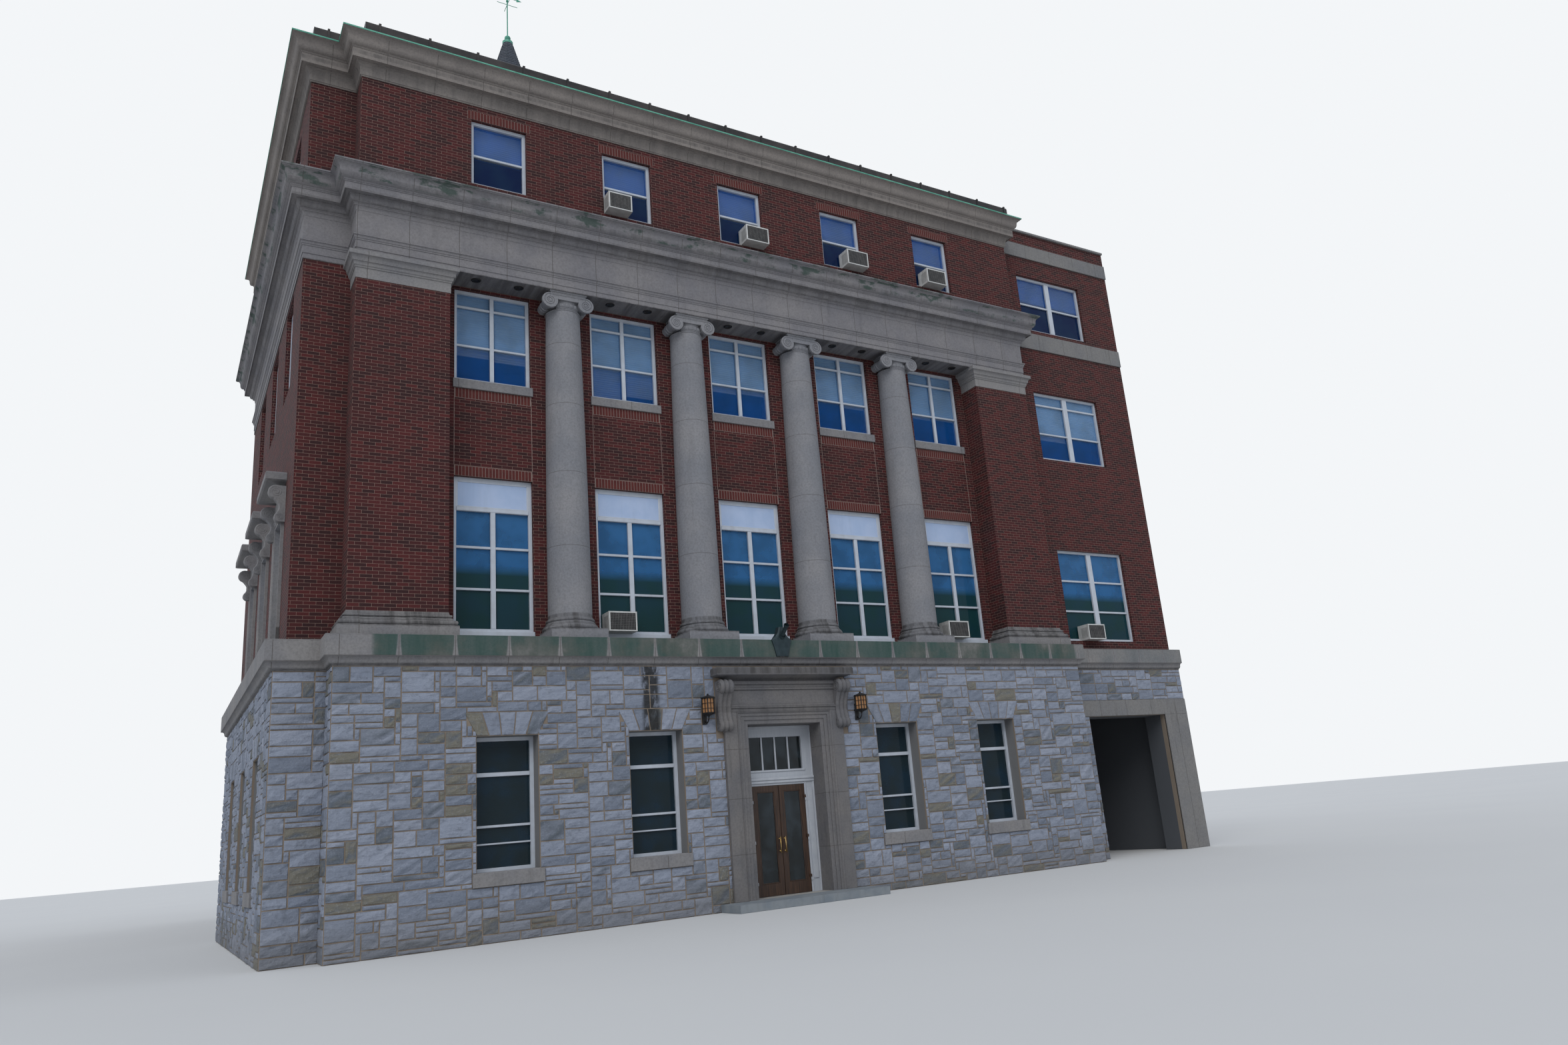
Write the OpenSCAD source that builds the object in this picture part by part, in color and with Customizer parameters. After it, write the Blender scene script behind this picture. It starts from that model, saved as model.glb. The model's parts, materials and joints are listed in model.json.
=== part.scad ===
// Town hall: a brick and limestone block with an engaged Ionic order across its front,
// a set-back wing on the right, a hall behind and a slate spire over the hall.
// Millimetres, +Z up, the front looks along -Y. The origin is on the ground, on the
// axis of the entrance, in the middle of the front block's depth.

/* [Front block] */
// Width of the frontispiece over its two brick piers
front_w = 17514; // [16500:10:18500]
// Depth of the front block from the pier faces to its rear wall face
block_d = 10900; // [10000:10:12500]
// Width of each brick pier
pier_w = 1800; // [1500:10:2000]
// How far the piers stand in front of the general wall face
pier_d = 600; // [560:5:700]
// Width of the wall strip left of the left pier
strip_w = 883; // [700:1:1000]
// Distance between the centre lines of two window bays
bay = 2965; // [2850:5:3050]
// Thickness of the brick walls
wall_t = 500; // [400:10:560]
// How far the stone ground floor stands out from the brick above it
base_out = 220; // [150:5:260]

/* [Wing and hall] */
// Width of the right wing
wing_w = 4846; // [4500:1:5200]
// Width of the hall behind the front block
hall_w = 13300; // [12000:10:14000]
// Length of the hall behind the front block
hall_l = 17200; // [16500:10:18000]
// Distance between two window bays on the left side and the hall
side_bay = 2790; // [2600:5:2900]
// Distance from the front strip's face to the first side window's centre line
side_first = 2060; // [1900:5:2200]

/* [Levels above the ground] */
// Top of the ground floor slab and of the doorstep
floor_z = 150; // [120:5:180]
// Top of the stone belt course at the first brick storey
belt_z = 5450; // [5200:10:5600]
// Underside of the architrave
order_z = 13130; // [13000:10:13300]
// Top of the main entablature's crown moulding
entab_z = 14896; // [14800:2:15000]
// Top of the attic's brickwork
attic_z = 17221; // [17150:1:17300]
// Top of the crowning cornice
crown_z = 18044; // [17980:2:18120]
// Top of the metal clad kerb behind the crowning cornice
kerb_z = 18380; // [18320:10:18450]
// Top of the wing's parapet coping
coping_z = 18420; // [18350:10:18500]

/* [Floors] */
// Thickness of every floor slab
slab_t = 200; // [150:10:260]
// Top of the first storey's floor
floor1_z = 5250; // [5200:10:5300]
// Top of the second storey's floor
floor2_z = 9900; // [9750:10:10050]
// Top of the attic's floor
floor3_z = 14850; // [14750:10:14950]
// Top of the roof deck
roof_z = 17900; // [17800:10:17950]

/* [Front windows] */
// Width of a window opening in the order
win_w = 1600; // [1450:10:1700]
// Sill level of the first storey's openings
win1_z0 = 5710; // [5650:10:5760]
// Head level of the first storey's openings
win1_z1 = 8900; // [8700:10:9000]
// Sill level of the second storey's openings
win2_z0 = 11000; // [10900:10:11100]
// Head level of the second storey's openings
win2_z1 = 13080; // [12950:10:13100]
// Width of an attic opening
attic_w = 1200; // [1100:10:1300]
// Sill level of the attic openings
attic_z0 = 15300; // [15200:10:15350]
// Head level of the attic openings
attic_z1 = 16880; // [16800:10:16950]
// Width of a ground floor opening
ground_w = 1150; // [1050:10:1250]
// Sill level of the ground floor openings
ground_z0 = 1190; // [1100:10:1300]
// Head level of the ground floor openings
ground_z1 = 3600; // [3500:10:3700]

/* [Side and wing windows] */
// Width of a side opening
side_w = 1200; // [1100:10:1300]
// Width of a paired opening in the wing
pair_w = 2560; // [2400:10:2700]
// Distance of the wing windows' centre line from the wing's left end
pair_x = 2220; // [2100:10:2350]
// Sill level of the wing's first storey opening
wing1_z0 = 5730; // [5700:10:5800]
// Head level of the wing's first storey opening
wing1_z1 = 8310; // [8200:10:8400]
// Sill level of the wing's attic opening
wing3_z0 = 15080; // [15000:10:15150]
// Width of the open passage under the wing
passage_w = 2950; // [2800:10:3050]
// Height of the passage
passage_h = 3640; // [3500:10:3700]
// Distance of the passage's centre line from the wing's left end
passage_x = 2460; // [2350:10:2500]

/* [Windows] */
// Face width of the timber round every window
frame_w = 70; // [50:5:90]
// Depth of the timber round every window
frame_d = 110; // [80:5:140]
// Thickness of the glass
glass_t = 12; // [8:1:16]
// How far a brick wall's windows stand behind its face
reveal = 90; // [60:5:120]
// How far the stone floor's windows stand behind its face
stone_reveal = 320; // [250:10:350]

/* [Entrance] */
// Clear width of the doorway in the stone
portal_w = 1800; // [1700:10:1900]
// Height of the doorway in the stone
portal_z = 3660; // [3600:10:3720]
// Width of the two door leaves together
doors_w = 1300; // [1200:10:1400]
// Height of the doors' upper edge
doors_z = 2400; // [2300:10:2450]
// Thickness of a door leaf
door_t = 50; // [40:1:60]
// Gap around each door leaf
door_gap = 6; // [5:1:8]
// Gap between the meeting edges of the two leaves
meet_gap = 12; // [12:1:16]
// Distance of the doors' outer face behind the pier face
door_y = 230; // [180:10:260]
// Radius of a door hinge's knuckle
knuckle_r = 12; // [10:1:14]
// Radius of a door hinge's pin
pin_r = 6; // [5:1:7]
// Length of each half of a door hinge
knuckle_l = 60; // [50:5:80]
// Running clearance of the hinge pins and of the weathervane
play = 0.3; // [0.2:0.05:0.4]
// Bedding gap between the octagonal pieces of the spire
seat = 0.3; // [0.1:0.1:0.5]

/* [Columns] */
// Radius of a shaft at its foot
shaft_r0 = 444; // [420:1:460]
// Radius of a shaft under its capital
shaft_r1 = 366; // [350:1:385]
// Distance of the column axes behind the pier face
col_y = 430; // [400:5:460]
// Side of a column's square plinth
plinth_w = 1170; // [1140:5:1180]
// Height of the plinths of columns and piers
plinth_h = 220; // [180:5:250]
// Height of the moulded base above the plinth
base_h = 277; // [250:1:300]
// Height of the capital
cap_h = 420; // [380:5:450]

/* [Spire] */
// Side of the square tower base on the hall's roof
tower_w = 5000; // [4600:50:5400]
// Top of the square tower base
tower_z = 23400; // [23000:50:23800]
// Width of the octagonal belfry across its flats
belfry_w = 3400; // [3200:20:3500]
// Top of the belfry's walls
belfry_z = 29300; // [29000:50:29500]
// Foot of the slate spire
spire_z0 = 29850; // [29700:10:29950]
// Top of the slates
spire_z1 = 35830; // [35600:10:36000]
// Width of the spire across its flats at the foot
spire_w0 = 3600; // [3500:20:3700]
// Width of the spire across its flats at the top of the slates
spire_w1 = 407; // [380:1:440]
// Height of the compass arms on the mast
compass_z = 37970; // [37800:10:38100]

/* [Hidden] */

$fn = 48;
brick = "firebrick";
limestone = "tan";
rock = "lightsteelblue";
slab_grey = "silver";

// Plan of the outer wall faces, in a frame with the pier faces on y = 0 and the
// entrance axis on x = 0
half = front_w / 2;
left_x = -half - strip_w;
wing_x = half + wing_w;
set_y = pier_d;
rear_y = block_d;
hall_x = hall_w / 2;
hall_y = block_d + hall_l;
bays = [for (i = [-2:2]) i * bay];
column_x = [for (i = [-1.5:1:1.5]) i * bay];

// The belt course runs all round, ending flush with the plain party wall
belt_path = [[wing_x, rear_y], [hall_x, rear_y], [hall_x, hall_y], [-hall_x, hall_y],
    [-hall_x, rear_y], [left_x, rear_y], [left_x, set_y], [-half, set_y], [-half, 0],
    [half, 0], [half, set_y], [wing_x, set_y]];
// The main order stops where the wing begins
order_path = [[half, rear_y], [hall_x, rear_y], [hall_x, hall_y], [-hall_x, hall_y],
    [-hall_x, rear_y], [left_x, rear_y], [left_x, set_y], [-half, set_y], [-half, 0],
    [half, 0], [half, set_y]];

// Outward unit normal of the leg from a to b, the inside being on the left hand
function out_of(a, b) = let (d = (b - a) / norm(b - a)) [d.y, -d.x];
function mitres(path) = [for (i = [0:len(path) - 1])
    let (before = i > 0 ? out_of(path[i - 1], path[i]) : [0, 0],
        after = i < len(path) - 1 ? out_of(path[i], path[i + 1]) : [0, 0])
    i == 0 ? after : i == len(path) - 1 ? before : before + after];

// Carries a closed profile of [distance out, height] points along a square cornered path:
// each leg is the extruded profile, cut to its two mitres
module carried(path, profile, reach = 700) {
    m = mitres(path);
    z = [for (p = profile) p.y];
    for (i = [0:len(path) - 2]) {
        a = path[i];
        b = path[i + 1];
        o = out_of(a, b);
        intersection() {
            translate([a.x, a.y, 0]) rotate([0, 0, atan2(o.y, o.x)]) rotate([90, 0, 0])
                translate([0, 0, -norm(b - a) - reach]) linear_extrude(norm(b - a) + 2 * reach)
                    polygon(profile);
            translate([0, 0, min(z) - 10]) linear_extrude(max(z) - min(z) + 20) polygon([
                a - reach * m[i], a + reach * m[i], b + reach * m[i + 1],
                b - reach * m[i + 1]]);
        }
    }
}

// Quarter curves of a moulding from (x0, z0) up to (x1, z1): hollow, round and ogee
function cove(x0, z0, x1, z1, n = 6) =
    [for (i = [0:n]) let (a = 90 * i / n) [x1 - (x1 - x0) * cos(a), z0 + (z1 - z0) * sin(a)]];
function ovolo(x0, z0, x1, z1, n = 6) =
    [for (i = [0:n]) let (a = 90 * i / n) [x0 + (x1 - x0) * sin(a), z0 + (z1 - z0) * (1 - cos(a))]];
function ogee(x0, z0, x1, z1) = let (xm = (x0 + x1) / 2, zm = (z0 + z1) / 2)
    concat(ovolo(x0, z0, xm, zm, 5), [for (i = [1:5]) cove(xm, zm, x1, z1, 5)[i]]);
function torus_side(x, z, r, n = 8) =
    [for (i = [0:n]) let (a = -90 + 180 * i / n) [x + r * cos(a), z + r * sin(a)]];

module place() translate([0, -block_d / 2, 0]) children();

// A box given by its lowest and highest corners
module block(lo, hi) translate(lo) cube(hi - lo);

// Openings through a wall that runs along X or Y: [centre, width, sill, head]
module holes_x(list, y0, y1)
    for (h = list) block([h[0] - h[1] / 2, y0 - 10, h[2]], [h[0] + h[1] / 2, y1 + 10, h[3]]);
module holes_y(list, x0, x1)
    for (h = list) block([x0 - 10, h[0] - h[1] / 2, h[2]], [x1 + 10, h[0] + h[1] / 2, h[3]]);

// Window rows
first_row = [for (x = bays) [x, win_w, win1_z0, win1_z1]];
second_row = [for (x = bays) [x, win_w, win2_z0, win2_z1]];
attic_row = [for (x = bays) [x, attic_w, attic_z0, attic_z1]];
ground_row = [for (i = [0, 1, 3, 4]) [bays[i], ground_w, ground_z0, ground_z1]];
side_y = [for (i = [0:2]) set_y + side_first + i * side_bay];
side_rows = [for (y = side_y) for (r = [[win1_z0, win1_z1], [win2_z0, win2_z1]])
    [y, side_w, r[0], r[1]]];
side_attic = [for (y = side_y) [y, side_w, attic_z0, attic_z1]];
side_ground = [for (y = side_y) [y, ground_w, ground_z0, ground_z1]];
hall_bays = floor((hall_l - side_bay) / side_bay);
hall_ys = [for (i = [0:hall_bays - 1])
    rear_y + hall_l / 2 + (i - (hall_bays - 1) / 2) * side_bay];
hall_rows = [for (y = hall_ys) for (r = [[win1_z0, win1_z1], [win2_z0, win2_z1]])
    [y, side_w, r[0], r[1]]];
hall_attic = [for (y = hall_ys) [y, side_w, attic_z0, attic_z1]];
hall_ground = [for (y = hall_ys) [y, ground_w, ground_z0, ground_z1]];
end_x = [for (i = [-1:1]) i * bay];
end_rows = [for (x = end_x) for (r = [[win1_z0, win1_z1], [win2_z0, win2_z1],
    [attic_z0, attic_z1]]) [x, side_w, r[0], r[1]]];
end_ground = [for (x = end_x) [x, ground_w, ground_z0, ground_z1]];
wing_cx = half + pair_x;
wing_rows = [[wing_cx, pair_w, wing1_z0, wing1_z1], [wing_cx, pair_w, win2_z0, win2_z1],
    [wing_cx, pair_w, wing3_z0, attic_z1]];

// Belt course: a smooth band over an ogee moulding, through the wall's thickness
belt_out = 374;
belt_h = 378;
ogee_h = 170;
base_z = belt_z - belt_h - ogee_h;
belt_profile = concat([[-wall_t, base_z], [base_out, base_z], [base_out + 12, base_z]],
    ogee(base_out + 12, base_z + 20, belt_out - 14, base_z + ogee_h - 12),
    [[belt_out, base_z + ogee_h - 12], [belt_out, belt_z - 12], [belt_out - 12, belt_z],
        [-wall_t, belt_z]]);

// Floor plates of the front block with its wing, and of the hall
module front_plate(z, h) block([left_x + wall_t, set_y + wall_t, z],
    [wing_x - wall_t, rear_y - wall_t, z + h]);
module hall_plate(z, h) block([-hall_x + wall_t, rear_y - wall_t, z],
    [hall_x - wall_t, hall_y - wall_t, z + h]);
upper = [floor1_z, floor2_z, floor3_z];

// The ground floor stops at the passage, whose paving is the open ground
inner_x = half + 300;
module ground_slab() color(slab_grey) place() {
    block([left_x + wall_t, set_y + wall_t, 0], [inner_x, rear_y - wall_t, floor_z]);
    block([-half - base_out, wall_t, 0], [half + base_out, set_y + wall_t, floor_z]);
    block([-portal_x, -base_out, 0], [portal_x, wall_t, floor_z]);
}

module hall_ground_slab() color(slab_grey) place() hall_plate(0, floor_z);

module upper_floors() color(slab_grey) place() for (z = upper) front_plate(z - slab_t, slab_t);

module hall_floors() color(slab_grey) place() for (z = upper) hall_plate(z - slab_t, slab_t);

module front_roof_deck() color("dimgray") place() front_plate(roof_z - slab_t, slab_t);

module hall_roof_deck() color("dimgray") place() hall_plate(roof_z - slab_t, slab_t);

passage_row = [[half + passage_x, passage_w, -10, passage_h]];
portal_x = portal_w / 2;
module base_front_left() color(rock) place() difference() {
    block([-half - base_out, -base_out, 0], [-portal_x, wall_t, base_z]);
    holes_x([for (h = ground_row) if (h[0] < 0) h], -base_out, wall_t);
}

module base_front_right() color(rock) place() difference() {
    block([portal_x, -base_out, 0], [half + base_out, wall_t, base_z]);
    holes_x([for (h = ground_row) if (h[0] > 0) h], -base_out, wall_t);
}

module base_over_door() color(rock) place()
    block([-portal_x, -base_out, portal_z], [portal_x, wall_t, base_z]);

module base_corner() color(rock) place()
    block([left_x - base_out, set_y - base_out, 0], [-half - base_out, set_y + wall_t, base_z]);

module base_side_walls() color(rock) place() {
    difference() {
        union() {
            block([left_x - base_out, set_y + wall_t, 0],
                [left_x + wall_t, rear_y + base_out, base_z]);
            block([-hall_x - base_out, rear_y + base_out, 0],
                [-hall_x + wall_t, hall_y + base_out, base_z]);
            block([hall_x - wall_t, rear_y + base_out, 0],
                [hall_x + base_out, hall_y + base_out, base_z]);
        }
        holes_y(concat(side_ground, hall_ground), left_x - base_out, hall_x + base_out);
    }
    block([inner_x, set_y + wall_t, 0], [inner_x + 400, rear_y - wall_t, floor1_z - slab_t]);
    block([wing_x - wall_t, set_y - base_out, 0], [wing_x, rear_y + base_out, base_z]);
}

module base_cross_walls() color(rock) place() difference() {
    union() {
        block([left_x + wall_t, rear_y - wall_t, 0], [-hall_x + wall_t, rear_y + base_out, base_z]);
        block([hall_x - wall_t, rear_y - wall_t, 0], [wing_x - wall_t, rear_y + base_out, base_z]);
        block([-hall_x + wall_t, hall_y - wall_t, 0], [hall_x - wall_t, hall_y + base_out, base_z]);
    }
    holes_x(concat(end_ground, passage_row), rear_y - wall_t, hall_y + base_out);
}

module base_wing_front() color(rock) place() difference() {
    block([half + base_out, set_y - base_out, 0], [wing_x - wall_t, set_y + wall_t, base_z]);
    holes_x(passage_row, set_y - base_out, set_y + wall_t);
}

module front_window_wall() color(brick) place() {
    difference() {
        block([-half, set_y, belt_z], [half, set_y + wall_t, order_z]);
        holes_x(concat(first_row, second_row), set_y, set_y + wall_t);
    }
    block([-half + wall_t, set_y, order_z], [half - wall_t, set_y + wall_t, floor3_z - slab_t]);
}

module brick_side_walls() color(brick) place() {
    difference() {
        union() {
            block([left_x, set_y + wall_t, belt_z], [left_x + wall_t, rear_y, order_z]);
            block([-hall_x, rear_y, belt_z], [-hall_x + wall_t, hall_y, order_z]);
            block([hall_x - wall_t, rear_y, belt_z], [hall_x, hall_y, order_z]);
        }
        holes_y(concat(side_rows, hall_rows), left_x, hall_x);
    }
    block([wing_x - wall_t, set_y + wall_t, belt_z], [wing_x, rear_y, wing_top]);
}

module brick_cross_walls() color(brick) place() {
    block([left_x, set_y, belt_z], [-half, set_y + wall_t, order_z]);
    block([left_x + wall_t, rear_y - wall_t, belt_z], [-hall_x + wall_t, rear_y, order_z]);
    block([hall_x - wall_t, rear_y - wall_t, belt_z], [half, rear_y, order_z]);
    block([half, rear_y - wall_t, belt_z], [wing_x - wall_t, rear_y, wing_top]);
    difference() {
        block([-hall_x + wall_t, hall_y - wall_t, belt_z], [hall_x - wall_t, hall_y, order_z]);
        holes_x([for (h = end_rows) if (h[3] < order_z) h], hall_y - wall_t, hall_y);
    }
}

wing_top = coping_z - 60;
module wing_brick_wall() color(brick) place() difference() {
    block([half, set_y, belt_z], [wing_x, set_y + wall_t, wing_top]);
    holes_x(wing_rows, set_y, set_y + wall_t);
}

// A straight run of a profile that looks to the right, for cutting round it
module return_of(profile) translate([half, set_y, 0]) rotate([90, 0, 0])
    linear_extrude(200) polygon(profile);

module wing_bands() color(limestone) place() {
    difference() {
        for (z = [[14440, 14950], [17490, 17940]])
            block([half, set_y - 40, z[0]], [wing_x, set_y, z[1]]);
        return_of(entab_profile);
        return_of(crown_profile);
    }
    block([half, set_y - 60, wing_top], [wing_x, set_y + wall_t, coping_z]);
}

module belt_course() color(limestone) place() {
    carried(belt_path, belt_profile);
    block([-half + wall_t, wall_t, base_z], [half - wall_t, set_y + wall_t, belt_z]);
    block([wing_x - wall_t, set_y + wall_t, base_z], [wing_x, rear_y - wall_t, belt_z]);
}

pier_base_z = belt_z + plinth_h + base_h;
cap_z = order_z - 530;
module brick_piers() color(brick) place() for (s = [-1, 1])
    block([s * (half - pier_w / 2) - pier_w / 2, 0, pier_base_z],
        [s * (half - pier_w / 2) + pier_w / 2, set_y, cap_z]);

function square_pier(x, w) = [[x - w, set_y], [x - w, 0], [x + w, 0], [x + w, set_y]];
pier_x = half - pier_w / 2;
module pier_bases() color(limestone) place() for (s = [-1, 1]) {
    z1 = belt_z + plinth_h;
    carried(square_pier(s * pier_x, pier_w / 2), concat(
        [[-200, belt_z], [165, belt_z], [165, z1 - 10], [155, z1], [120, z1]],
        torus_side(95, z1 + 50, 50), [[78, z1 + 104]],
        cove(70, z1 + 108, 30, z1 + 160), torus_side(30, z1 + 190, 26), [[14, z1 + 222]],
        [[0, pier_base_z], [-200, pier_base_z]]));
    block([s * pier_x - pier_w / 2 + 190, 190, belt_z],
        [s * pier_x + pier_w / 2 - 190, set_y, pier_base_z]);
}

module pier_caps() color(limestone) place() for (s = [-1, 1]) {
    carried(square_pier(s * pier_x, pier_w / 2), concat(
        [[-200, cap_z], [12, cap_z], [12, cap_z + 215], [30, cap_z + 222], [30, cap_z + 245]],
        ogee(34, cap_z + 252, 74, cap_z + 330), [[86, cap_z + 334], [86, cap_z + 356]],
        cove(90, cap_z + 362, 140, cap_z + 440), [[152, cap_z + 444], [152, order_z],
        [-200, order_z]]));
    block([s * pier_x - pier_w / 2 + 190, 190, cap_z],
        [s * pier_x + pier_w / 2 - 190, set_y, order_z]);
}

// What stands against the window wall is cut off flat at the wall's face
module engaged(z0, z1) intersection() {
    children();
    block([-half, -1000, z0], [half, set_y, z1]);
}

shaft_z0 = belt_z + plinth_h + base_h;
shaft_z1 = order_z - cap_h;
module column_bases() color(limestone) place() engaged(belt_z, shaft_z0) for (x = column_x)
    translate([x, col_y, belt_z]) {
        translate([-plinth_w / 2, -plinth_w / 2, 0]) cube([plinth_w, plinth_w, plinth_h]);
        r = plinth_w / 2 - 20;
        translate([0, 0, plinth_h]) {
            rotate_extrude() translate([r - 58, 58]) circle(58);
            cylinder(r = r - 58, h = 116);
            cylinder(r = r - 36, h = 128);
            rotate_extrude() polygon(concat([[0, 120], [r - 50, 120]],
                cove(r - 60, 126, shaft_r0 + 34, 186), [[0, 186]]));
            rotate_extrude() translate([shaft_r0 + 14, 220]) circle(34);
            cylinder(r = shaft_r0 + 14, h = 254);
            rotate_extrude() polygon(concat([[0, 250], [shaft_r0 + 22, 250],
                [shaft_r0 + 22, 262]], [for (p = cove(0, 0, 22, base_h - 262))
                [shaft_r0 + 22 - p.x, 262 + p.y]], [[0, base_h]]));
        }
    }

module column_shafts() color(limestone) place() engaged(shaft_z0, shaft_z1)
    for (x = column_x) translate([x, col_y, shaft_z0]) {
        h = shaft_z1 - shaft_z0;
        n = 8;
        rotate_extrude() polygon(concat([[0, 0]], [for (i = [0:n])
            [shaft_r0 - (shaft_r0 - shaft_r1) * pow(i / n, 1.7), h * i / n]], [[0, h]]));
    }

// Ionic capital: spiral volutes on a cushion, bolsters behind, eggs and darts on the
// echinus, two astragals and a thin abacus
volute_r = 172;
volute_x = 400;
abacus_h = 60;
volute_z = cap_h - abacus_h - volute_r;
cap_front = shaft_r1 + 30;
function volute_arm(s, i, n, turns, w) = let (t = i / n, a = 90 - 360 * turns * t,
    r = (volute_r - 20) * pow(0.27, t) - w * (1 - 0.45 * t)) [s * r * cos(a), r * sin(a)];
module volute_groove(s) {
    n = 44;
    linear_extrude(12) polygon(concat([for (i = [0:n]) volute_arm(s, i, n, 2.3, 0)],
        [for (i = [n:-1:0]) volute_arm(s, i, n, 2.3, 22)]));
}
module volute_plate() {
    h = volute_z + volute_r;
    difference() {
        union() {
            for (s = [-1, 1]) translate([s * volute_x, 60 - cap_front, volute_z])
                rotate([90, 0, 0]) cylinder(r = volute_r, h = 60);
            translate([0, 60 - cap_front, 0]) rotate([90, 0, 0]) linear_extrude(60)
                polygon(concat([[-volute_x, h - 3], [volute_x, h - 3]], [for (i = [0:10])
                    let (t = 1 - i / 5) [t * volute_x, h - 112 - 22 * (1 - t * t)]]));
        }
        for (s = [-1, 1]) translate([s * volute_x, 10 - cap_front, volute_z])
            rotate([90, 0, 0]) volute_groove(s);
        translate([-volute_x, -cap_front - 2, h - 88]) cube([2 * volute_x, 12, 58]);
    }
    for (s = [-1, 1]) translate([s * volute_x, -cap_front + 12, volute_z])
        rotate([90, 0, 0]) cylinder(r1 = 34, r2 = 20, h = 22);
}
module capital() {
    volute_plate();
    // Bolsters, waisted in the middle of the column's depth
    for (s = [-1, 1]) translate([s * volute_x, 0, volute_z]) rotate([90, 0, 0])
        rotate_extrude() polygon([[0, -cap_front + 59], [158, -cap_front + 59], [138, -300],
            [112, -170], [102, -70], [118, -62], [118, -28], [104, -20], [104, 20],
            [118, 28], [118, 62], [102, 70], [112, 170], [138, 300], [158, cap_front - 59],
            [0, cap_front - 59]]);
    // Neck, which is round below the bolsters and a block between them
    cylinder(r = shaft_r1, h = 42);
    rotate_extrude() translate([shaft_r1 - 2, 24]) circle(16);
    intersection() {
        union() {
            cylinder(r = shaft_r1, h = cap_h - abacus_h);
            rotate_extrude() translate([shaft_r1 + 2, 58]) circle(13);
            rotate_extrude() polygon(concat([[0, 72]],
                ovolo(shaft_r1 - 2, 72, shaft_r1 + 30, 150), [[0, 150]]));
            for (a = [-26:13:26]) rotate([0, 0, a]) translate([0, -shaft_r1 - 14, 84])
                cylinder(r1 = 12, r2 = 32, h = 60);
        }
        translate([160 - volute_x, -2 * cap_front, 20])
            cube([2 * volute_x - 320, 4 * cap_front, cap_h]);
    }
    translate([70 - volute_x, -300, 96]) cube([2 * volute_x - 140, 600, cap_h - abacus_h - 100]);
    translate([-volute_x + 10, -cap_front - 6, cap_h - abacus_h - 5])
        cube([2 * volute_x - 20, 2 * cap_front, 32]);
    translate([-volute_x - 12, -cap_front - 24, cap_h - abacus_h + 26])
        cube([2 * volute_x + 24, 2 * cap_front + 40, abacus_h - 26]);
}
module column_capitals() color(limestone) place() engaged(shaft_z1, order_z)
    for (x = column_x) translate([x, col_y, shaft_z1]) capital();

frieze_z = order_z + 400;
entab_profile = concat([[-wall_t, order_z], [18, order_z], [18, order_z + 116],
    [30, order_z + 116], [30, order_z + 276], [42, order_z + 282], [42, order_z + 304]],
    ogee(44, order_z + 310, 74, order_z + 368), [[84, order_z + 372], [84, frieze_z - 6],
    [30, frieze_z], [30, frieze_z + 535], [38, frieze_z + 540]],
    cove(40, frieze_z + 545, 74, frieze_z + 630), [[86, frieze_z + 632],
    [86, frieze_z + 650], [98, frieze_z + 654], [98, frieze_z + 672]],
    ovolo(102, frieze_z + 680, 170, frieze_z + 790), [[182, frieze_z + 794],
    [182, frieze_z + 830], [278, frieze_z + 838], [278, frieze_z + 820],
    [290, frieze_z + 820], [290, frieze_z + 975], [304, frieze_z + 978],
    [304, frieze_z + 1000], [318, frieze_z + 1004], [318, frieze_z + 1028]],
    ogee(326, frieze_z + 1036, 482, entab_z - 62), [[496, entab_z - 58],
    [496, entab_z - 40], [515, entab_z - 36], [515, entab_z - 8], [500, entab_z],
    [-wall_t, entab_z]]);
module entablature() color(limestone) place() {
    carried(order_path, entab_profile);
    block([-half + wall_t, wall_t, order_z], [half - wall_t, set_y, entab_z]);
}

module attic_front_wall() color(brick) place() difference() {
    block([-half, 0, entab_z], [half, wall_t, attic_z]);
    holes_x(attic_row, 0, wall_t);
}

module attic_side_walls() color(brick) place() {
    for (x = [-half, half - wall_t])
        block([x, wall_t, entab_z], [x + wall_t, set_y + wall_t, attic_z]);
    difference() {
        union() {
            block([left_x, set_y + wall_t, entab_z], [left_x + wall_t, rear_y, attic_z]);
            block([-hall_x, rear_y, entab_z], [-hall_x + wall_t, hall_y, attic_z]);
            block([hall_x - wall_t, rear_y, entab_z], [hall_x, hall_y, attic_z]);
        }
        holes_y(concat(side_attic, hall_attic), left_x, hall_x);
    }
}

module attic_cross_walls() color(brick) place() {
    block([left_x, set_y, entab_z], [-half, set_y + wall_t, attic_z]);
    block([left_x + wall_t, rear_y - wall_t, entab_z], [-hall_x + wall_t, rear_y, attic_z]);
    block([hall_x - wall_t, rear_y - wall_t, entab_z], [half, rear_y, attic_z]);
    difference() {
        block([-hall_x + wall_t, hall_y - wall_t, entab_z], [hall_x - wall_t, hall_y, attic_z]);
        holes_x([for (h = end_rows) if (h[3] > order_z) h], hall_y - wall_t, hall_y);
    }
}

crown_profile = concat([[-wall_t, attic_z], [24, attic_z], [24, attic_z + 26],
    [36, attic_z + 30]], cove(38, attic_z + 40, 118, attic_z + 262),
    [[130, attic_z + 268], [130, attic_z + 300], [208, attic_z + 306],
    [208, attic_z + 290], [222, attic_z + 290], [222, attic_z + 500],
    [236, attic_z + 504], [236, attic_z + 528]],
    ogee(246, attic_z + 536, 412, crown_z - 34), [[424, crown_z - 30], [435, crown_z - 26],
    [435, crown_z - 4], [-wall_t, crown_z]]);
module crowning_cornice() color(limestone) place() carried(order_path, crown_profile);

module copper_flashing() color("mediumaquamarine") place()
    carried(order_path, [[-wall_t, crown_z], [438, crown_z], [438, crown_z - 16],
        [446, crown_z - 16], [446, crown_z + 14], [430, crown_z + 25],
        [-wall_t, crown_z + 25]]);

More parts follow.
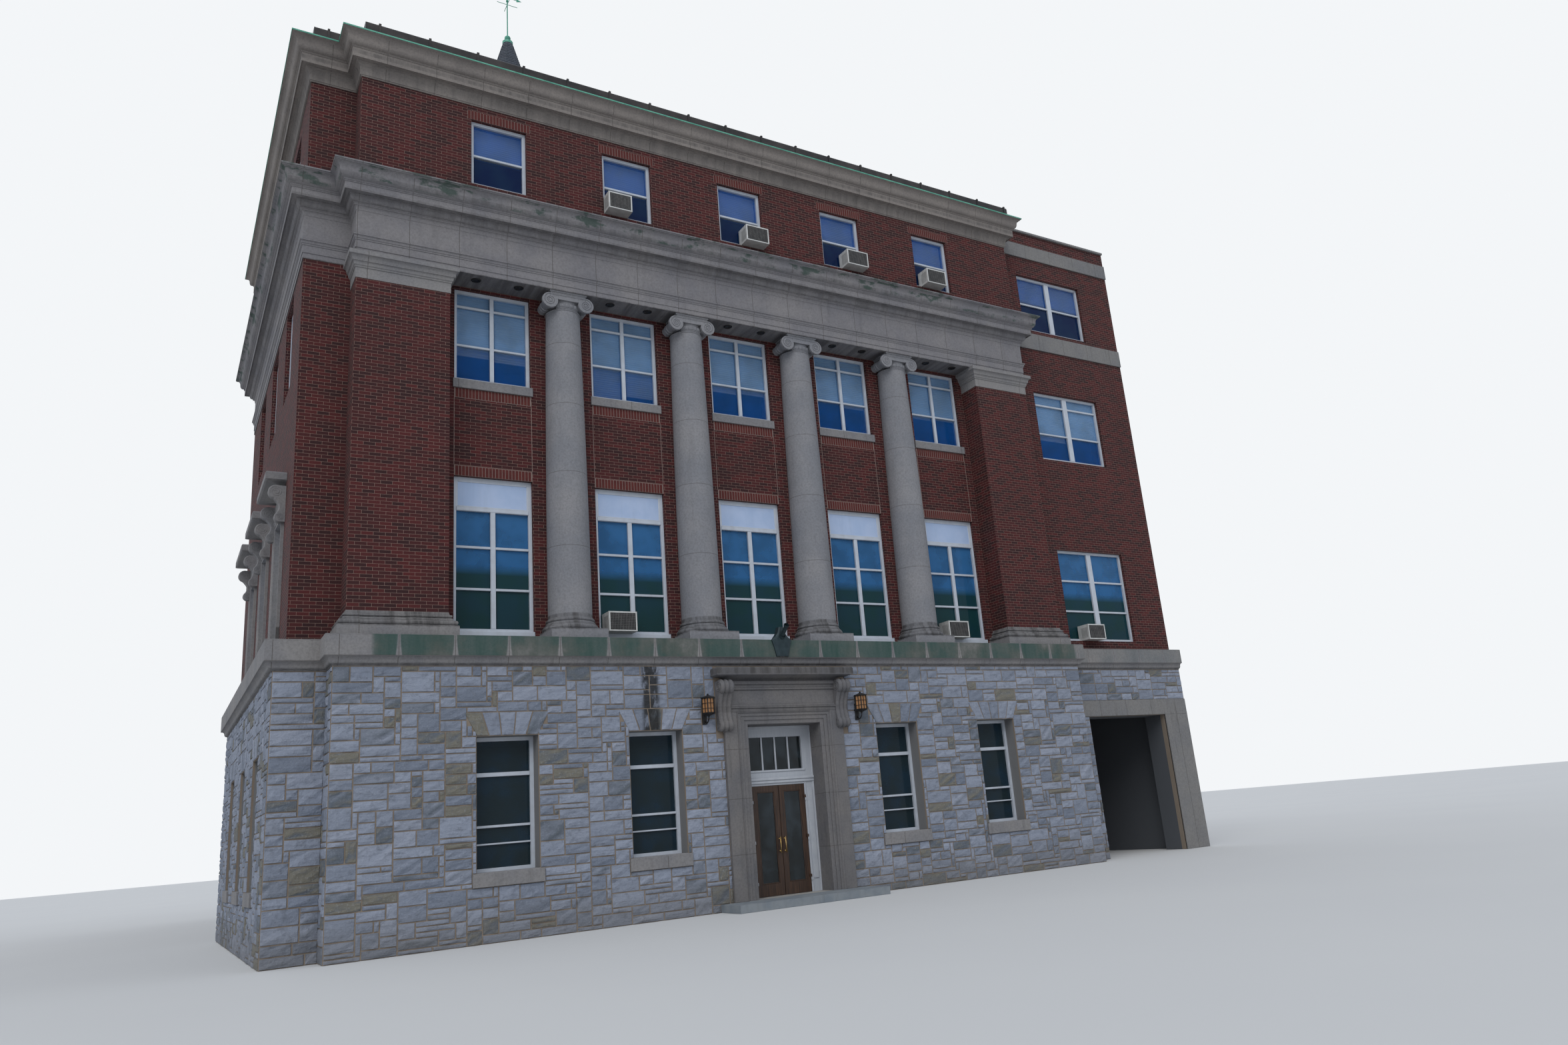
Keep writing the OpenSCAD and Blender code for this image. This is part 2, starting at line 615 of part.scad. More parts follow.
// Sheet metal kerb along the front, in two lengths, with a strap over every seam
kerb_out = 300;
module kerb(x0, x1, y) {
    r = kerb_z - crown_z - 28;
    difference() {
        union() {
            block([x0, y, crown_z + 26], [x1, y + 520, kerb_z - 60]);
            translate([x0, y + 60, kerb_z - 60]) cube([x1 - x0, 460, 60]);
            translate([x0, y + 60, kerb_z - 60]) rotate([0, 90, 0])
                cylinder(r = 60, h = x1 - x0);
        }
    }
    straps = floor((x1 - x0) / 1000);
    for (i = [0:straps]) translate([x0 + 280 + i * 1010 - 24, y - 14, crown_z + 26])
        if (x0 + 280 + i * 1010 + 24 < x1) difference() {
            cube([48, 60, kerb_z - crown_z - 20]);
            translate([-1, 14, -1]) cube([50, 60, kerb_z - crown_z - 26]);
        }
}
module roof_kerb() color("darkslategray") place() {
    kerb(-half, half + 40, -kerb_out);
    kerb(left_x - 20, -half - 60, set_y - kerb_out);
}

tower_y = block_d + hall_l / 2;
module tower_base() color(brick) place() translate([0, tower_y, roof_z])
    difference() {
        translate([-tower_w / 2, -tower_w / 2, 0]) cube([tower_w, tower_w, tower_z - roof_z]);
        translate([-tower_w / 2 + wall_t, -tower_w / 2 + wall_t, -10])
            cube([tower_w - 2 * wall_t, tower_w - 2 * wall_t, tower_z - roof_z + 20]);
    }

module tower_cornice() color(limestone) place() translate([0, tower_y, tower_z])
    difference() {
        translate([-tower_w / 2 - 250, -tower_w / 2 - 250, 0]) cube([tower_w + 500, tower_w + 500, 450]);
        translate([0, 0, -10]) cylinder(r = belfry_w / 2 - 400, h = 500, $fn = 8);
    }

module octagon(w, h) rotate([0, 0, 22.5]) cylinder(r = w / 2 / cos(22.5), h = h, $fn = 8);

module belfry() color("white") place() translate([0, tower_y, tower_z + 450])
    difference() {
        octagon(belfry_w, belfry_z - tower_z - 450);
        translate([0, 0, 600]) octagon(belfry_w - 500, belfry_z - tower_z);
        for (a = [0:45:315]) rotate([0, 0, a])
            translate([-400, 0, 1200]) cube([800, belfry_w, 3200]);
    }

module belfry_cornice() color("white") place() translate([0, tower_y, belfry_z + seat])
    octagon(spire_w0 + 200, spire_z0 - belfry_z - 2 * seat);

module slate_spire() color("slategray") place() translate([0, tower_y, spire_z0])
    rotate([0, 0, 22.5]) cylinder(r1 = spire_w0 / 2 / cos(22.5), r2 = spire_w1 / 2 / cos(22.5),
        h = spire_z1 - spire_z0, $fn = 8);

mast_r = 25;
module spire_finial() color("seagreen") place() translate([0, tower_y, spire_z1 + seat]) {
    cylinder(r = spire_w1 / 2 + 20, h = 120);
    translate([0, 0, 120]) cylinder(r1 = 150, r2 = 110, h = 120);
    translate([0, 0, 330]) sphere(r = 130);
    cylinder(r = mast_r, h = compass_z - spire_z1 + 700);
    for (a = [0, 90]) rotate([0, 0, a])
        translate([0, 0, compass_z - spire_z1]) rotate([0, 90, 0])
            cylinder(r = 12, h = 900, center = true);
    translate([0, 0, vane_z - play - 40 - spire_z1]) cylinder(r = mast_r + 25, h = 40);
}

vane_z = compass_z + 200;
module weathervane() color("seagreen") place() translate([0, tower_y, vane_z]) difference() {
    union() {
        cylinder(r = mast_r + 20, h = 380);
        translate([-500, -8, 170]) cube([1000, 16, 30]);
        translate([0, 8, 0]) rotate([90, 0, 0]) linear_extrude(16)
            polygon([[-520, 100], [-250, 185], [-520, 270], [-460, 185]]);
        translate([0, 8, 0]) rotate([90, 0, 0]) linear_extrude(16)
            polygon([[420, 100], [640, 185], [420, 270]]);
    }
    translate([0, 0, -10]) cylinder(r = mast_r + play, h = 420);
}

module doorstep() color(slab_grey) place()
    block([-1750, -base_out - 850, 0], [1750, -base_out, floor_z]);

surround_out = 90;
module door_surround() color(limestone) place() {
    y0 = -base_out - surround_out;
    for (s = [-1, 1]) {
        block([s * 1250 - 350, y0, floor_z], [s * 1250 + 350, -base_out, 4600]);
        block([s * 1440 - 155, y0 - 200, 3600], [s * 1440 + 155, y0, 4600]);
    }
    block([-portal_x, y0, portal_z], [portal_x, -base_out, 4600]);
    block([-1700, y0 - 260, 4600], [1700, -base_out, 4850]);
}

// Transom bar and light over the doors
bar_z = doors_z + 320;
light_z = portal_z - 240;
hinge_z = [floor_z + 300, (floor_z + doors_z) / 2, doors_z - 300];
pin_y = door_y - knuckle_r - 6;
module door_frame() color("saddlebrown") place() {
    difference() {
        block([-portal_x, door_y, floor_z], [portal_x, door_y + 120, portal_z]);
        block([-doors_w / 2, door_y - 10, floor_z - 10], [doors_w / 2, door_y + 130, doors_z]);
        block([-doors_w / 2, door_y - 10, bar_z], [doors_w / 2, door_y + 130, light_z]);
    }
    for (s = [-1, 1]) {
        block([s * (doors_w / 2 - 12) - 12, door_y + door_t + door_gap, floor_z],
            [s * (doors_w / 2 - 12) + 12, door_y + 120, doors_z]);
        for (z = hinge_z) translate([s * doors_w / 2, pin_y, z - knuckle_l / 2]) {
            translate([0, 0, -knuckle_l / 2 - play]) cylinder(r = knuckle_r, h = knuckle_l);
            cylinder(r = pin_r, h = knuckle_l * 1.5);
            translate([s * 24, knuckle_r / 2 + 2, (knuckle_l - play) / 2 - knuckle_l / 2 - play])
                cube([40, knuckle_r + 8, knuckle_l - play], center = true);
        }
    }
    block([-doors_w / 2, door_y + 50, bar_z], [doors_w / 2, door_y + 62, light_z]);
}

module leaf(s) {
    w = (doors_w - meet_gap) / 2 - door_gap;
    x = s * (doors_w / 2 - door_gap - w / 2);
    translate([x, door_y + door_t / 2, 0]) {
        difference() {
            block([-w / 2, -door_t / 2, floor_z + door_gap],
                [w / 2, door_t / 2, doors_z - door_gap]);
            block([-w / 2 + 110, -door_t, floor_z + 250], [w / 2 - 110, door_t, doors_z - 130]);
        }
        block([-w / 2 + 110, -6, floor_z + 250], [w / 2 - 110, 6, doors_z - 130]);
    }
    for (z = hinge_z) translate([s * doors_w / 2, pin_y, z])
        difference() {
            union() {
                cylinder(r = knuckle_r, h = knuckle_l);
                translate([-s * 24, knuckle_r / 2 + 2, knuckle_l / 2])
                    cube([40, knuckle_r + 8, knuckle_l], center = true);
            }
            translate([0, 0, -1]) cylinder(r = pin_r + play, h = knuckle_l + 2);
        }
}
module left_door() color("saddlebrown") place() leaf(-1);
module right_door() color("saddlebrown") place() leaf(1);

// Frames and panes for rows of openings
module frames_x(list, y) for (h = list) difference() {
    block([h[0] - h[1] / 2, y, h[2]], [h[0] + h[1] / 2, y + frame_d, h[3]]);
    block([h[0] - h[1] / 2 + frame_w, y - 10, h[2] + frame_w],
        [h[0] + h[1] / 2 - frame_w, y + frame_d + 10, h[3] - frame_w]);
}
module panes_x(list, y) for (h = list)
    block([h[0] - h[1] / 2 + frame_w, y + frame_d / 2, h[2] + frame_w],
        [h[0] + h[1] / 2 - frame_w, y + frame_d / 2 + glass_t, h[3] - frame_w]);
module frames_y(list, x) for (h = list) difference() {
    block([x, h[0] - h[1] / 2, h[2]], [x + frame_d, h[0] + h[1] / 2, h[3]]);
    block([x - 10, h[0] - h[1] / 2 + frame_w, h[2] + frame_w],
        [x + frame_d + 10, h[0] + h[1] / 2 - frame_w, h[3] - frame_w]);
}
module panes_y(list, x) for (h = list)
    block([x + frame_d / 2, h[0] - h[1] / 2 + frame_w, h[2] + frame_w],
        [x + frame_d / 2 + glass_t, h[0] + h[1] / 2 - frame_w, h[3] - frame_w]);

order_windows = concat(first_row, second_row);
module front_window_frames() color("white") place() {
    frames_x(order_windows, set_y + reveal);
    frames_x(wing_rows, set_y + reveal);
}
module front_window_glass() color("lightblue") place() {
    panes_x(order_windows, set_y + reveal);
    panes_x(wing_rows, set_y + reveal);
}
module attic_window_frames() color("white") place() frames_x(attic_row, reveal);
module attic_window_glass() color("lightblue") place() panes_x(attic_row, reveal);
module ground_window_frames() color("white") place() {
    frames_x(ground_row, -base_out + stone_reveal);
    frames_y(side_ground, left_x - base_out + stone_reveal);
    frames_y(hall_ground, -hall_x - base_out + stone_reveal);
    frames_y(hall_ground, hall_x + base_out - stone_reveal - frame_d);
    frames_x(end_ground, hall_y + base_out - stone_reveal - frame_d);
}
module ground_window_glass() color("lightblue") place() {
    panes_x(ground_row, -base_out + stone_reveal);
    panes_y(side_ground, left_x - base_out + stone_reveal);
    panes_y(hall_ground, -hall_x - base_out + stone_reveal);
    panes_y(hall_ground, hall_x + base_out - stone_reveal - frame_d);
    panes_x(end_ground, hall_y + base_out - stone_reveal - frame_d);
}
module side_window_frames() color("white") place() {
    frames_y(concat(side_rows, side_attic), left_x + reveal);
    frames_y(concat(hall_rows, hall_attic), -hall_x + reveal);
    frames_y(concat(hall_rows, hall_attic), hall_x - reveal - frame_d);
    frames_x(end_rows, hall_y - reveal - frame_d);
}
module side_window_glass() color("lightblue") place() {
    panes_y(concat(side_rows, side_attic), left_x + reveal);
    panes_y(concat(hall_rows, hall_attic), -hall_x + reveal);
    panes_y(concat(hall_rows, hall_attic), hall_x - reveal - frame_d);
    panes_x(end_rows, hall_y - reveal - frame_d);
}

module window_sills() color(limestone) place()
    for (x = bays) block([x - win_w / 2 - 30, set_y - 40, win2_z0 - 190],
        [x + win_w / 2 + 30, set_y, win2_z0]);

ground_slab();
hall_ground_slab();
upper_floors();
hall_floors();
front_roof_deck();
hall_roof_deck();
base_front_left();
base_front_right();
base_over_door();
base_corner();
base_side_walls();
base_cross_walls();
base_wing_front();
front_window_wall();
brick_side_walls();
brick_cross_walls();
wing_brick_wall();
wing_bands();
belt_course();
brick_piers();
pier_bases();
pier_caps();
column_bases();
column_shafts();
column_capitals();
entablature();
attic_front_wall();
attic_side_walls();
attic_cross_walls();
crowning_cornice();
copper_flashing();
roof_kerb();
tower_base();
tower_cornice();
belfry();
belfry_cornice();
slate_spire();
spire_finial();
weathervane();
doorstep();
door_surround();
door_frame();
left_door();
right_door();
front_window_frames();
front_window_glass();
attic_window_frames();
attic_window_glass();
ground_window_frames();
ground_window_glass();
side_window_frames();
side_window_glass();
window_sills();
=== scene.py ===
"""Looks of the town hall: materials, joinery, stonework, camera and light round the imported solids.

Metres, +Z up, the entrance front looks along -Y and the ground is z = 0.
"""
from __future__ import annotations

import json
import logging
import math
from dataclasses import dataclass
from enum import Enum
from functools import cached_property, reduce
from typing import Callable, Iterable, Sequence

import bpy
import numpy as np
from mathutils import Matrix

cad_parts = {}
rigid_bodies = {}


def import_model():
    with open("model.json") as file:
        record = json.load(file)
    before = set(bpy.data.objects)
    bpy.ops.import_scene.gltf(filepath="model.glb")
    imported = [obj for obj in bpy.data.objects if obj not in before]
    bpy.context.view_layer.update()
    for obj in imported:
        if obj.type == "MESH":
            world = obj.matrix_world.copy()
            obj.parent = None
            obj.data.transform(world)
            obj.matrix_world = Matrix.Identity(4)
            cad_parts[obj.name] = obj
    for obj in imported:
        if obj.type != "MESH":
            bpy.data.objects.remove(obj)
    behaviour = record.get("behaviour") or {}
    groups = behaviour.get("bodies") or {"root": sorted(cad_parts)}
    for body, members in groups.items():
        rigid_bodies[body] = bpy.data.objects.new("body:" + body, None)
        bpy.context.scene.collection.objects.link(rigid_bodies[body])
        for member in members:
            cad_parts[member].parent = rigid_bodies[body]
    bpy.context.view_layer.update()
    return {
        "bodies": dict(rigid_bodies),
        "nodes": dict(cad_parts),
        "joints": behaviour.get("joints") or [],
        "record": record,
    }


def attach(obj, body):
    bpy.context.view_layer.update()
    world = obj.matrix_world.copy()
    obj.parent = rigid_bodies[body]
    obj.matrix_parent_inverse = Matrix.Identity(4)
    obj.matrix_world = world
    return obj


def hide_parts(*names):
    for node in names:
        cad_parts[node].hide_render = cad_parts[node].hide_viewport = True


LOG = logging.getLogger("town_hall")
Colour = tuple[float, float, float]
Number = float | np.ndarray
Pairs = Sequence[tuple[float, float]]
Rectangle = tuple[float, float, float, float]

PIER_Y = -5.45
WALL_Y = -4.85
SIDE_X = -9.64
HALL_X = 6.65
REAR_Y = 22.65
WING_MIDDLE = 10.977
WING_END = 13.603
BASE_OUT = 0.22
BASE_Y = PIER_Y - BASE_OUT
BASE_TOP = 4.895
BELT_TOP = 5.45
FRAME_IN = 0.09
BASE_FRAME_IN = 0.32
BRICK_COURSE = 0.0677
SLATE_COURSE = 0.11
GROUND_WINDOW = (1.19, 3.6)
FIRST_WINDOW = (5.71, 8.27)
SECOND_WINDOW = (11.0, 13.08)
ATTIC_WINDOW = (15.3, 16.88)
SILL_FOOT = 0.95
ARCH_TOP = 4.04
PASSAGE = (9.742, 12.692)
PASSAGE_HEAD = 3.64
BAYS = tuple(2.965 * i for i in range(-2, 3))
GROUND_BAYS = (BAYS[0], BAYS[1], BAYS[3], BAYS[4])
SIDE_BAYS = tuple(WALL_Y + 2.06 + 2.79 * i for i in range(3))
HALL_BAYS = tuple(8.47 + 2.79 * i for i in range(5))


class Facing(Enum):
    """The side of the building that a wall looks to: the axis it crosses and the way out."""

    FRONT = (1, -1)
    LEFT = (0, -1)
    RIGHT = (0, 1)
    REAR = (1, 1)


class Laying(Enum):
    """Length of the pieces laid in courses."""

    STRETCHER = 0.2134
    SLATE = 0.19


# Shaders


def operator(operation: str, swapped: bool = False) -> Callable[..., Wire]:
    """A method of Wire that adds one Math node.

    Args:
        operation: The Math node's operation.
        swapped: Whether the other number comes first.

    Returns:
        The method.
    """

    def method(self: Wire, *others: Wire | float) -> Wire:
        """The node's result."""
        values = (*others, self) if swapped else (self, *others)
        return self.sheet.node("ShaderNodeMath", {"operation": operation}, dict(enumerate(values)))

    return method


class Wire:
    """An output on a node tree, on which Python's operators add Math nodes."""

    def __init__(self, sheet: NodeSheet, node: bpy.types.Node, out: int | str = 0) -> None:
        """Keeps the tree, the node and which of its outputs is meant."""
        self.sheet = sheet
        self.node = node
        self.out = out

    __add__ = __radd__ = operator("ADD")
    __sub__ = operator("SUBTRACT")
    __rsub__ = operator("SUBTRACT", swapped=True)
    __mul__ = __rmul__ = operator("MULTIPLY")
    __truediv__ = operator("DIVIDE")
    __gt__ = operator("GREATER_THAN")
    __lt__ = operator("LESS_THAN")
    __abs__ = operator("ABSOLUTE")
    fraction = operator("FRACT")
    either = operator("MAXIMUM")

    def other(self, out: int | str) -> Wire:
        """Another output of the same node."""
        return Wire(self.sheet, self.node, out)

    def step(self, low: float, high: float) -> Wire:
        """Smooth rise from 0 at low to 1 at high."""
        return self.sheet.node("ShaderNodeMapRange", {"interpolation_type": "SMOOTHSTEP"},
                               {"Value": self, "From Min": low, "From Max": high})

    def between(self, low: float, high: float, soft: float = 0.01) -> Wire:
        """One between two values, with soft edges."""
        return self.step(low - soft, low) * (1 - self.step(high, high + soft))


class NodeSheet:
    """The node tree of one material or of the world."""

    def __init__(self, owner: bpy.types.Material | bpy.types.World) -> None:
        """Empties the owner's tree."""
        owner.use_nodes = True
        self.tree = owner.node_tree
        self.tree.nodes.clear()

    def node(self, kind: str, settings: dict | None = None, sockets: dict | None = None,
             out: int | str = 0) -> Wire:
        """Adds any node.

        Args:
            kind: The node's type.
            settings: Its settings, set first; "stops" are a ramp's positions and colours.
            sockets: Values or wires of its inputs, by name or number.
            out: Which output to return.

        Returns:
            A wire from that output.
        """
        made = self.tree.nodes.new(kind)
        for key, value in (settings or {}).items():
            if key == "stops":
                ramp = made.color_ramp.elements
                while len(ramp) < len(value):
                    ramp.new(0.5)
                for element, (position, colour) in zip(ramp, value):
                    element.position = position
                    element.color = (*colour, 1)
            else:
                setattr(made, key, value)
        for key, value in (sockets or {}).items():
            if isinstance(value, Wire):
                self.tree.links.new(value.node.outputs[value.out], made.inputs[key])
            elif isinstance(value, tuple) and made.inputs[key].type == "RGBA":
                made.inputs[key].default_value = (*value, 1)
            else:
                made.inputs[key].default_value = value
        return Wire(self, made, out)

    def split(self, coordinates: str) -> tuple[Wire, Wire, Wire]:
        """The three numbers of one kind of texture coordinates."""
        at = self.node("ShaderNodeTexCoord", out=coordinates)
        x = self.node("ShaderNodeSeparateXYZ", None, {0: at})
        return x, x.other(1), x.other(2)

    @cached_property
    def place(self) -> tuple[Wire, Wire, Wire]:
        """Object coordinates x, y and z in metres."""
        return self.split("Object")

    def wall(self) -> tuple[Wire, Wire, Wire]:
        """Distance along a wall, height, and one where the surface lies level.

        Along is x on walls that look to the front or rear and y on the others; on level
        surfaces the height is y.
        """
        x, y, z = self.place
        nx, _, nz = self.split("Normal")
        sideways, level = abs(nx) > 0.7, abs(nz) > 0.7
        return x + (y - x) * sideways, z + (y - z) * level, level

    def vector(self, x: Wire | float, y: Wire | float, z: Wire | float = 0.0) -> Wire:
        """A vector from three numbers."""
        return self.node("ShaderNodeCombineXYZ", None, {0: x, 1: y, 2: z})

    def noise(self, scale: float, detail: float = 3.0, rough: float = 0.55,
              at: Wire | None = None) -> Wire:
        """Cloudy noise from 0 to 1, on the object's own coordinates unless a vector is given."""
        at = at or self.node("ShaderNodeTexCoord", out="Object")
        return self.node("ShaderNodeTexNoise", None,
                         {"Vector": at, "Scale": scale, "Detail": detail, "Roughness": rough})

    def mix(self, amount: Wire | float, first: Wire | Colour, second: Wire | Colour) -> Wire:
        """Mixes two colours."""
        return self.node("ShaderNodeMix", {"data_type": "RGBA"},
                         {0: amount, 6: first, 7: second}, out=2)

    def bump(self, height: Wire, distance: float, strength: float = 1.0) -> Wire:
        """A normal from a height of 0 to 1 times a distance in metres."""
        return self.node("ShaderNodeBump", None,
                         {"Height": height, "Distance": distance, "Strength": strength})

    def courses(self, at: Wire, tones: tuple[Colour, Colour, Colour], size: tuple[float, float],
                joint: float, smooth: float = 0.1, bias: float = 0.0) -> tuple[Wire, Wire]:
        """Bricks or slates in staggered courses.

        Args:
            at: Where along and up the wall.
            tones: The two that each piece mixes by chance, and the mortar's.
            size: Length and height of a piece.
            joint: Width of a joint.
            smooth: How soft the joints' edges are.
            bias: Share of the two tones.

        Returns:
            The colour, and one in the joints.
        """
        colour = self.node("ShaderNodeTexBrick", {"offset": 0.5}, {
            "Vector": at, "Color1": tones[0], "Color2": tones[1], "Mortar": tones[2],
            "Scale": 1.0, "Mortar Size": joint, "Mortar Smooth": smooth, "Bias": bias,
            "Brick Width": size[0], "Row Height": size[1]}, out="Color")
        return colour, colour.other("Fac")

    def timber(self, dark: Colour, light: Colour) -> tuple[Wire, Wire]:
        """Grain that runs upwards: its colour, and its rings from 0 to 1."""
        x, y, z = self.place
        rings = self.noise(1.0, 6.0, 0.65, self.vector(x * 60.0, y * 60.0, z * 2.2))
        return self.mix(rings.step(0.35, 0.68), dark, light), rings

    def indoors(self) -> Wire:
        """One on the plastered faces inside the front block and the hall."""
        x, y, z = self.place
        block = (x > -9.15) * (x < 13.11) * (y > -3.76) * (y < 4.96)
        block = block * (1 - (x > 9.4) * (z < 4.9))
        hall = (abs(x) < 6.16) * (y > 4.9) * (y < 22.16)
        return block.either(hall) * (z < 17.89)


# Finishes


Inputs = dict[str, Wire | float | Colour]


@dataclass(frozen=True)
class Finish:
    """A material of shader nodes round one Principled shader."""

    name: str

    def make(self) -> bpy.types.Material:
        """Makes the material."""
        material = bpy.data.materials.new(self.name)
        sheet = NodeSheet(material)
        sockets = {key.replace("_", " "): value for key, value in self.paint(sheet).items()}
        shader = sheet.node("ShaderNodeBsdfPrincipled", None, sockets)
        sheet.node("ShaderNodeOutputMaterial", None, {"Surface": shader})
        return material

    def paint(self, s: NodeSheet) -> Inputs:
        """The shader's inputs by name, with underscores for spaces."""
        raise NotImplementedError


@dataclass(frozen=True)
class Brickwork(Finish):
    """Face brick in staggered courses with pale mortar.

    The joints are a grid of brick length by course height, every other course moved by half
    a brick; each brick takes a chance mix of two reds.
    """

    deep: Colour = (0.024, 0.0024, 0.0030)
    bright: Colour = (0.078, 0.0064, 0.0062)
    mortar: Colour = (0.31, 0.205, 0.165)
    course: float = BRICK_COURSE
    joint: float = 0.0024
    first_course: float = 5.947

    def paint(self, s: NodeSheet) -> Inputs:
        """The brick's inputs."""
        along, up, _ = s.wall()
        colour, joints = s.courses(s.vector(along, up - self.first_course),
                                   (self.deep, self.bright, self.mortar),
                                   (Laying.STRETCHER.value, self.course), self.joint, 0.15, -0.1)
        patches = s.noise(0.45, 4.0, 0.6)
        grit = s.noise(38.0, 3.0, 0.7)
        streaks = s.noise(1.0, 4.0, 0.6, s.vector(along * 2.2, up * 0.22))
        colour = s.mix((patches - 0.35) * 0.75, colour, s.mix(0.42, colour, (0.02, 0.008, 0.008)))
        colour = s.mix(streaks.step(0.56, 0.8) * 0.35, colour, (0.035, 0.016, 0.014))
        colour = s.mix(grit.step(0.62, 0.8) * 0.22, colour, (0.18, 0.055, 0.04))
        inside = s.indoors()
        height = (1 - joints) + grit * 0.25
        return dict(Base_Color=s.mix(inside, colour, (0.55, 0.53, 0.49)),
                    Roughness=0.86 + joints * 0.1,
                    Normal=s.bump(height * (1 - inside), 0.006, 0.7))


@dataclass(frozen=True)
class Limestone(Finish):
    """Dressed grey beige limestone with fine joints, soot, drips and algae.

    Joints stand one pitch apart along the wall; soot gathers in noise drawn out downwards;
    the bands given are dark bands of soot and painted shade under projecting mouldings;
    algae shows in green panels between pale strips at the joints.
    Bands, patches and algae are heights from and to with an amount, and algae_along is where
    along the front they start and end.
    """

    stone: Colour = (0.190, 0.188, 0.197)
    warm: Colour = (0.245, 0.234, 0.228)
    # Dark tone of soot in the grain and drips, and of painted shade in the bands.
    soot_and_shade: Colour = (0.050, 0.047, 0.046)
    pitch: float = 0.989
    origin: float = 0.0
    soot_and_shade_bands: tuple[tuple[float, float, float], ...] = ()
    joints_at: tuple[float, ...] = ()
    drips: float = 0.35
    algae: tuple[float, float, float] | None = None
    moss: Colour = (0.016, 0.058, 0.046)
    algae_along: tuple[float, float] = (-8.3, 8.75)
    patches: tuple[tuple[float, float, float], ...] = ()
    lichen: Colour = (0.030, 0.060, 0.046)

    def paint(self, s: NodeSheet) -> Inputs:
        """The limestone's inputs."""
        along, up, level = s.wall()
        x, _, z = s.place
        clouds = s.noise(0.9, 5.0, 0.6)
        fine = s.noise(24.0, 4.0, 0.7)
        drawn = s.noise(1.0, 5.0, 0.65, s.vector(along * 5.0, up * 0.45))
        colour = s.mix(clouds.step(0.3, 0.7), self.stone, self.warm)
        colour = s.mix(fine.step(0.35, 0.75) * 0.3, colour, self.soot_and_shade)
        colour = s.mix(drawn.step(0.52, 0.78) * self.drips, colour, self.soot_and_shade)
        # Dark bands at the heights given: painted shade under projecting mouldings, mixed with soot.
        for low, high, amount in self.soot_and_shade_bands:
            band = z.between(low, high, 0.03) * (0.35 + drawn.step(0.4, 0.62) * 0.65)
            colour = s.mix(band * amount, colour, self.soot_and_shade)
        across = 0.5 - abs(((along - self.origin) / self.pitch).fraction() - 0.5)
        across = across * self.pitch
        if self.algae:
            low, high, amount = self.algae
            start, end = self.algae_along
            flare = across - (high - z) * (high - z) * 0.22
            panel = flare.step(0.010, 0.038) * z.between(low, high, 0.02)
            panel = panel * x.step(start - 0.1, start) * (1 - x.step(end, end + 0.1) * 0.8)
            green = s.mix(clouds.step(0.42, 0.62), self.moss, (0.062, 0.075, 0.062))
            grown = (1 - clouds.step(0.55, 0.68) * 0.45) * (0.62 + drawn * 0.5)
            colour = s.mix(panel * grown * amount, colour, green)
        for low, high, amount in self.patches:
            blot = s.noise(1.0, 6.0, 0.65, s.vector(along * 1.6, up * 3.0)).step(0.51, 0.61)
            colour = s.mix(blot * z.between(low, high, 0.06) * amount, colour, self.lichen)
        groove = (1 - across.step(0.003, 0.009)) * (1 - level)
        for height in self.joints_at:
            groove = groove.either(1 - abs(z - height).step(0.002, 0.007))
        colour = s.mix(groove * 0.72, colour, (0.075, 0.066, 0.058))
        return dict(Base_Color=colour, Roughness=0.80 + fine * 0.15,
                    Normal=s.bump(fine * 0.3 + clouds * 0.2 - groove, 0.005, 0.6))


@dataclass(frozen=True)
class MortarBed(Finish):
    """Tan pointing that shows between the rock faced stones, plastered indoors."""

    tan: Colour = (0.235, 0.190, 0.148)
    reveal: Colour = (0.155, 0.160, 0.170)

    def paint(self, s: NodeSheet) -> Inputs:
        """The pointing's inputs."""
        grit = s.noise(55.0, 3.0, 0.7)
        cloud = s.noise(1.5, 4.0)
        inside = s.indoors()
        x, y, z = s.place
        passage = (x > 9.4) * (x < 13.2) * (y > -4.9) * (z < 4.9) * (1 - inside)
        front = (y > BASE_Y + 0.04) * (y < PIER_Y + 0.4) * (abs(x) < 8.7)
        side = (x > -9.82) * (x < -9.2) * (y > -4.4) * (y < 4.4)
        colour = s.mix(cloud.step(0.3, 0.7) * 0.5, self.tan, (0.19, 0.15, 0.115))
        colour = s.mix(front.either(side), colour, s.mix(cloud, self.reveal, (0.20, 0.195, 0.19)))
        colour = s.mix(passage, colour, (0.078, 0.084, 0.094))
        return dict(Base_Color=s.mix(inside, colour, (0.5, 0.48, 0.44)),
                    Roughness=0.92 + grit * 0.05, Normal=s.bump(grit, 0.004, 0.5))


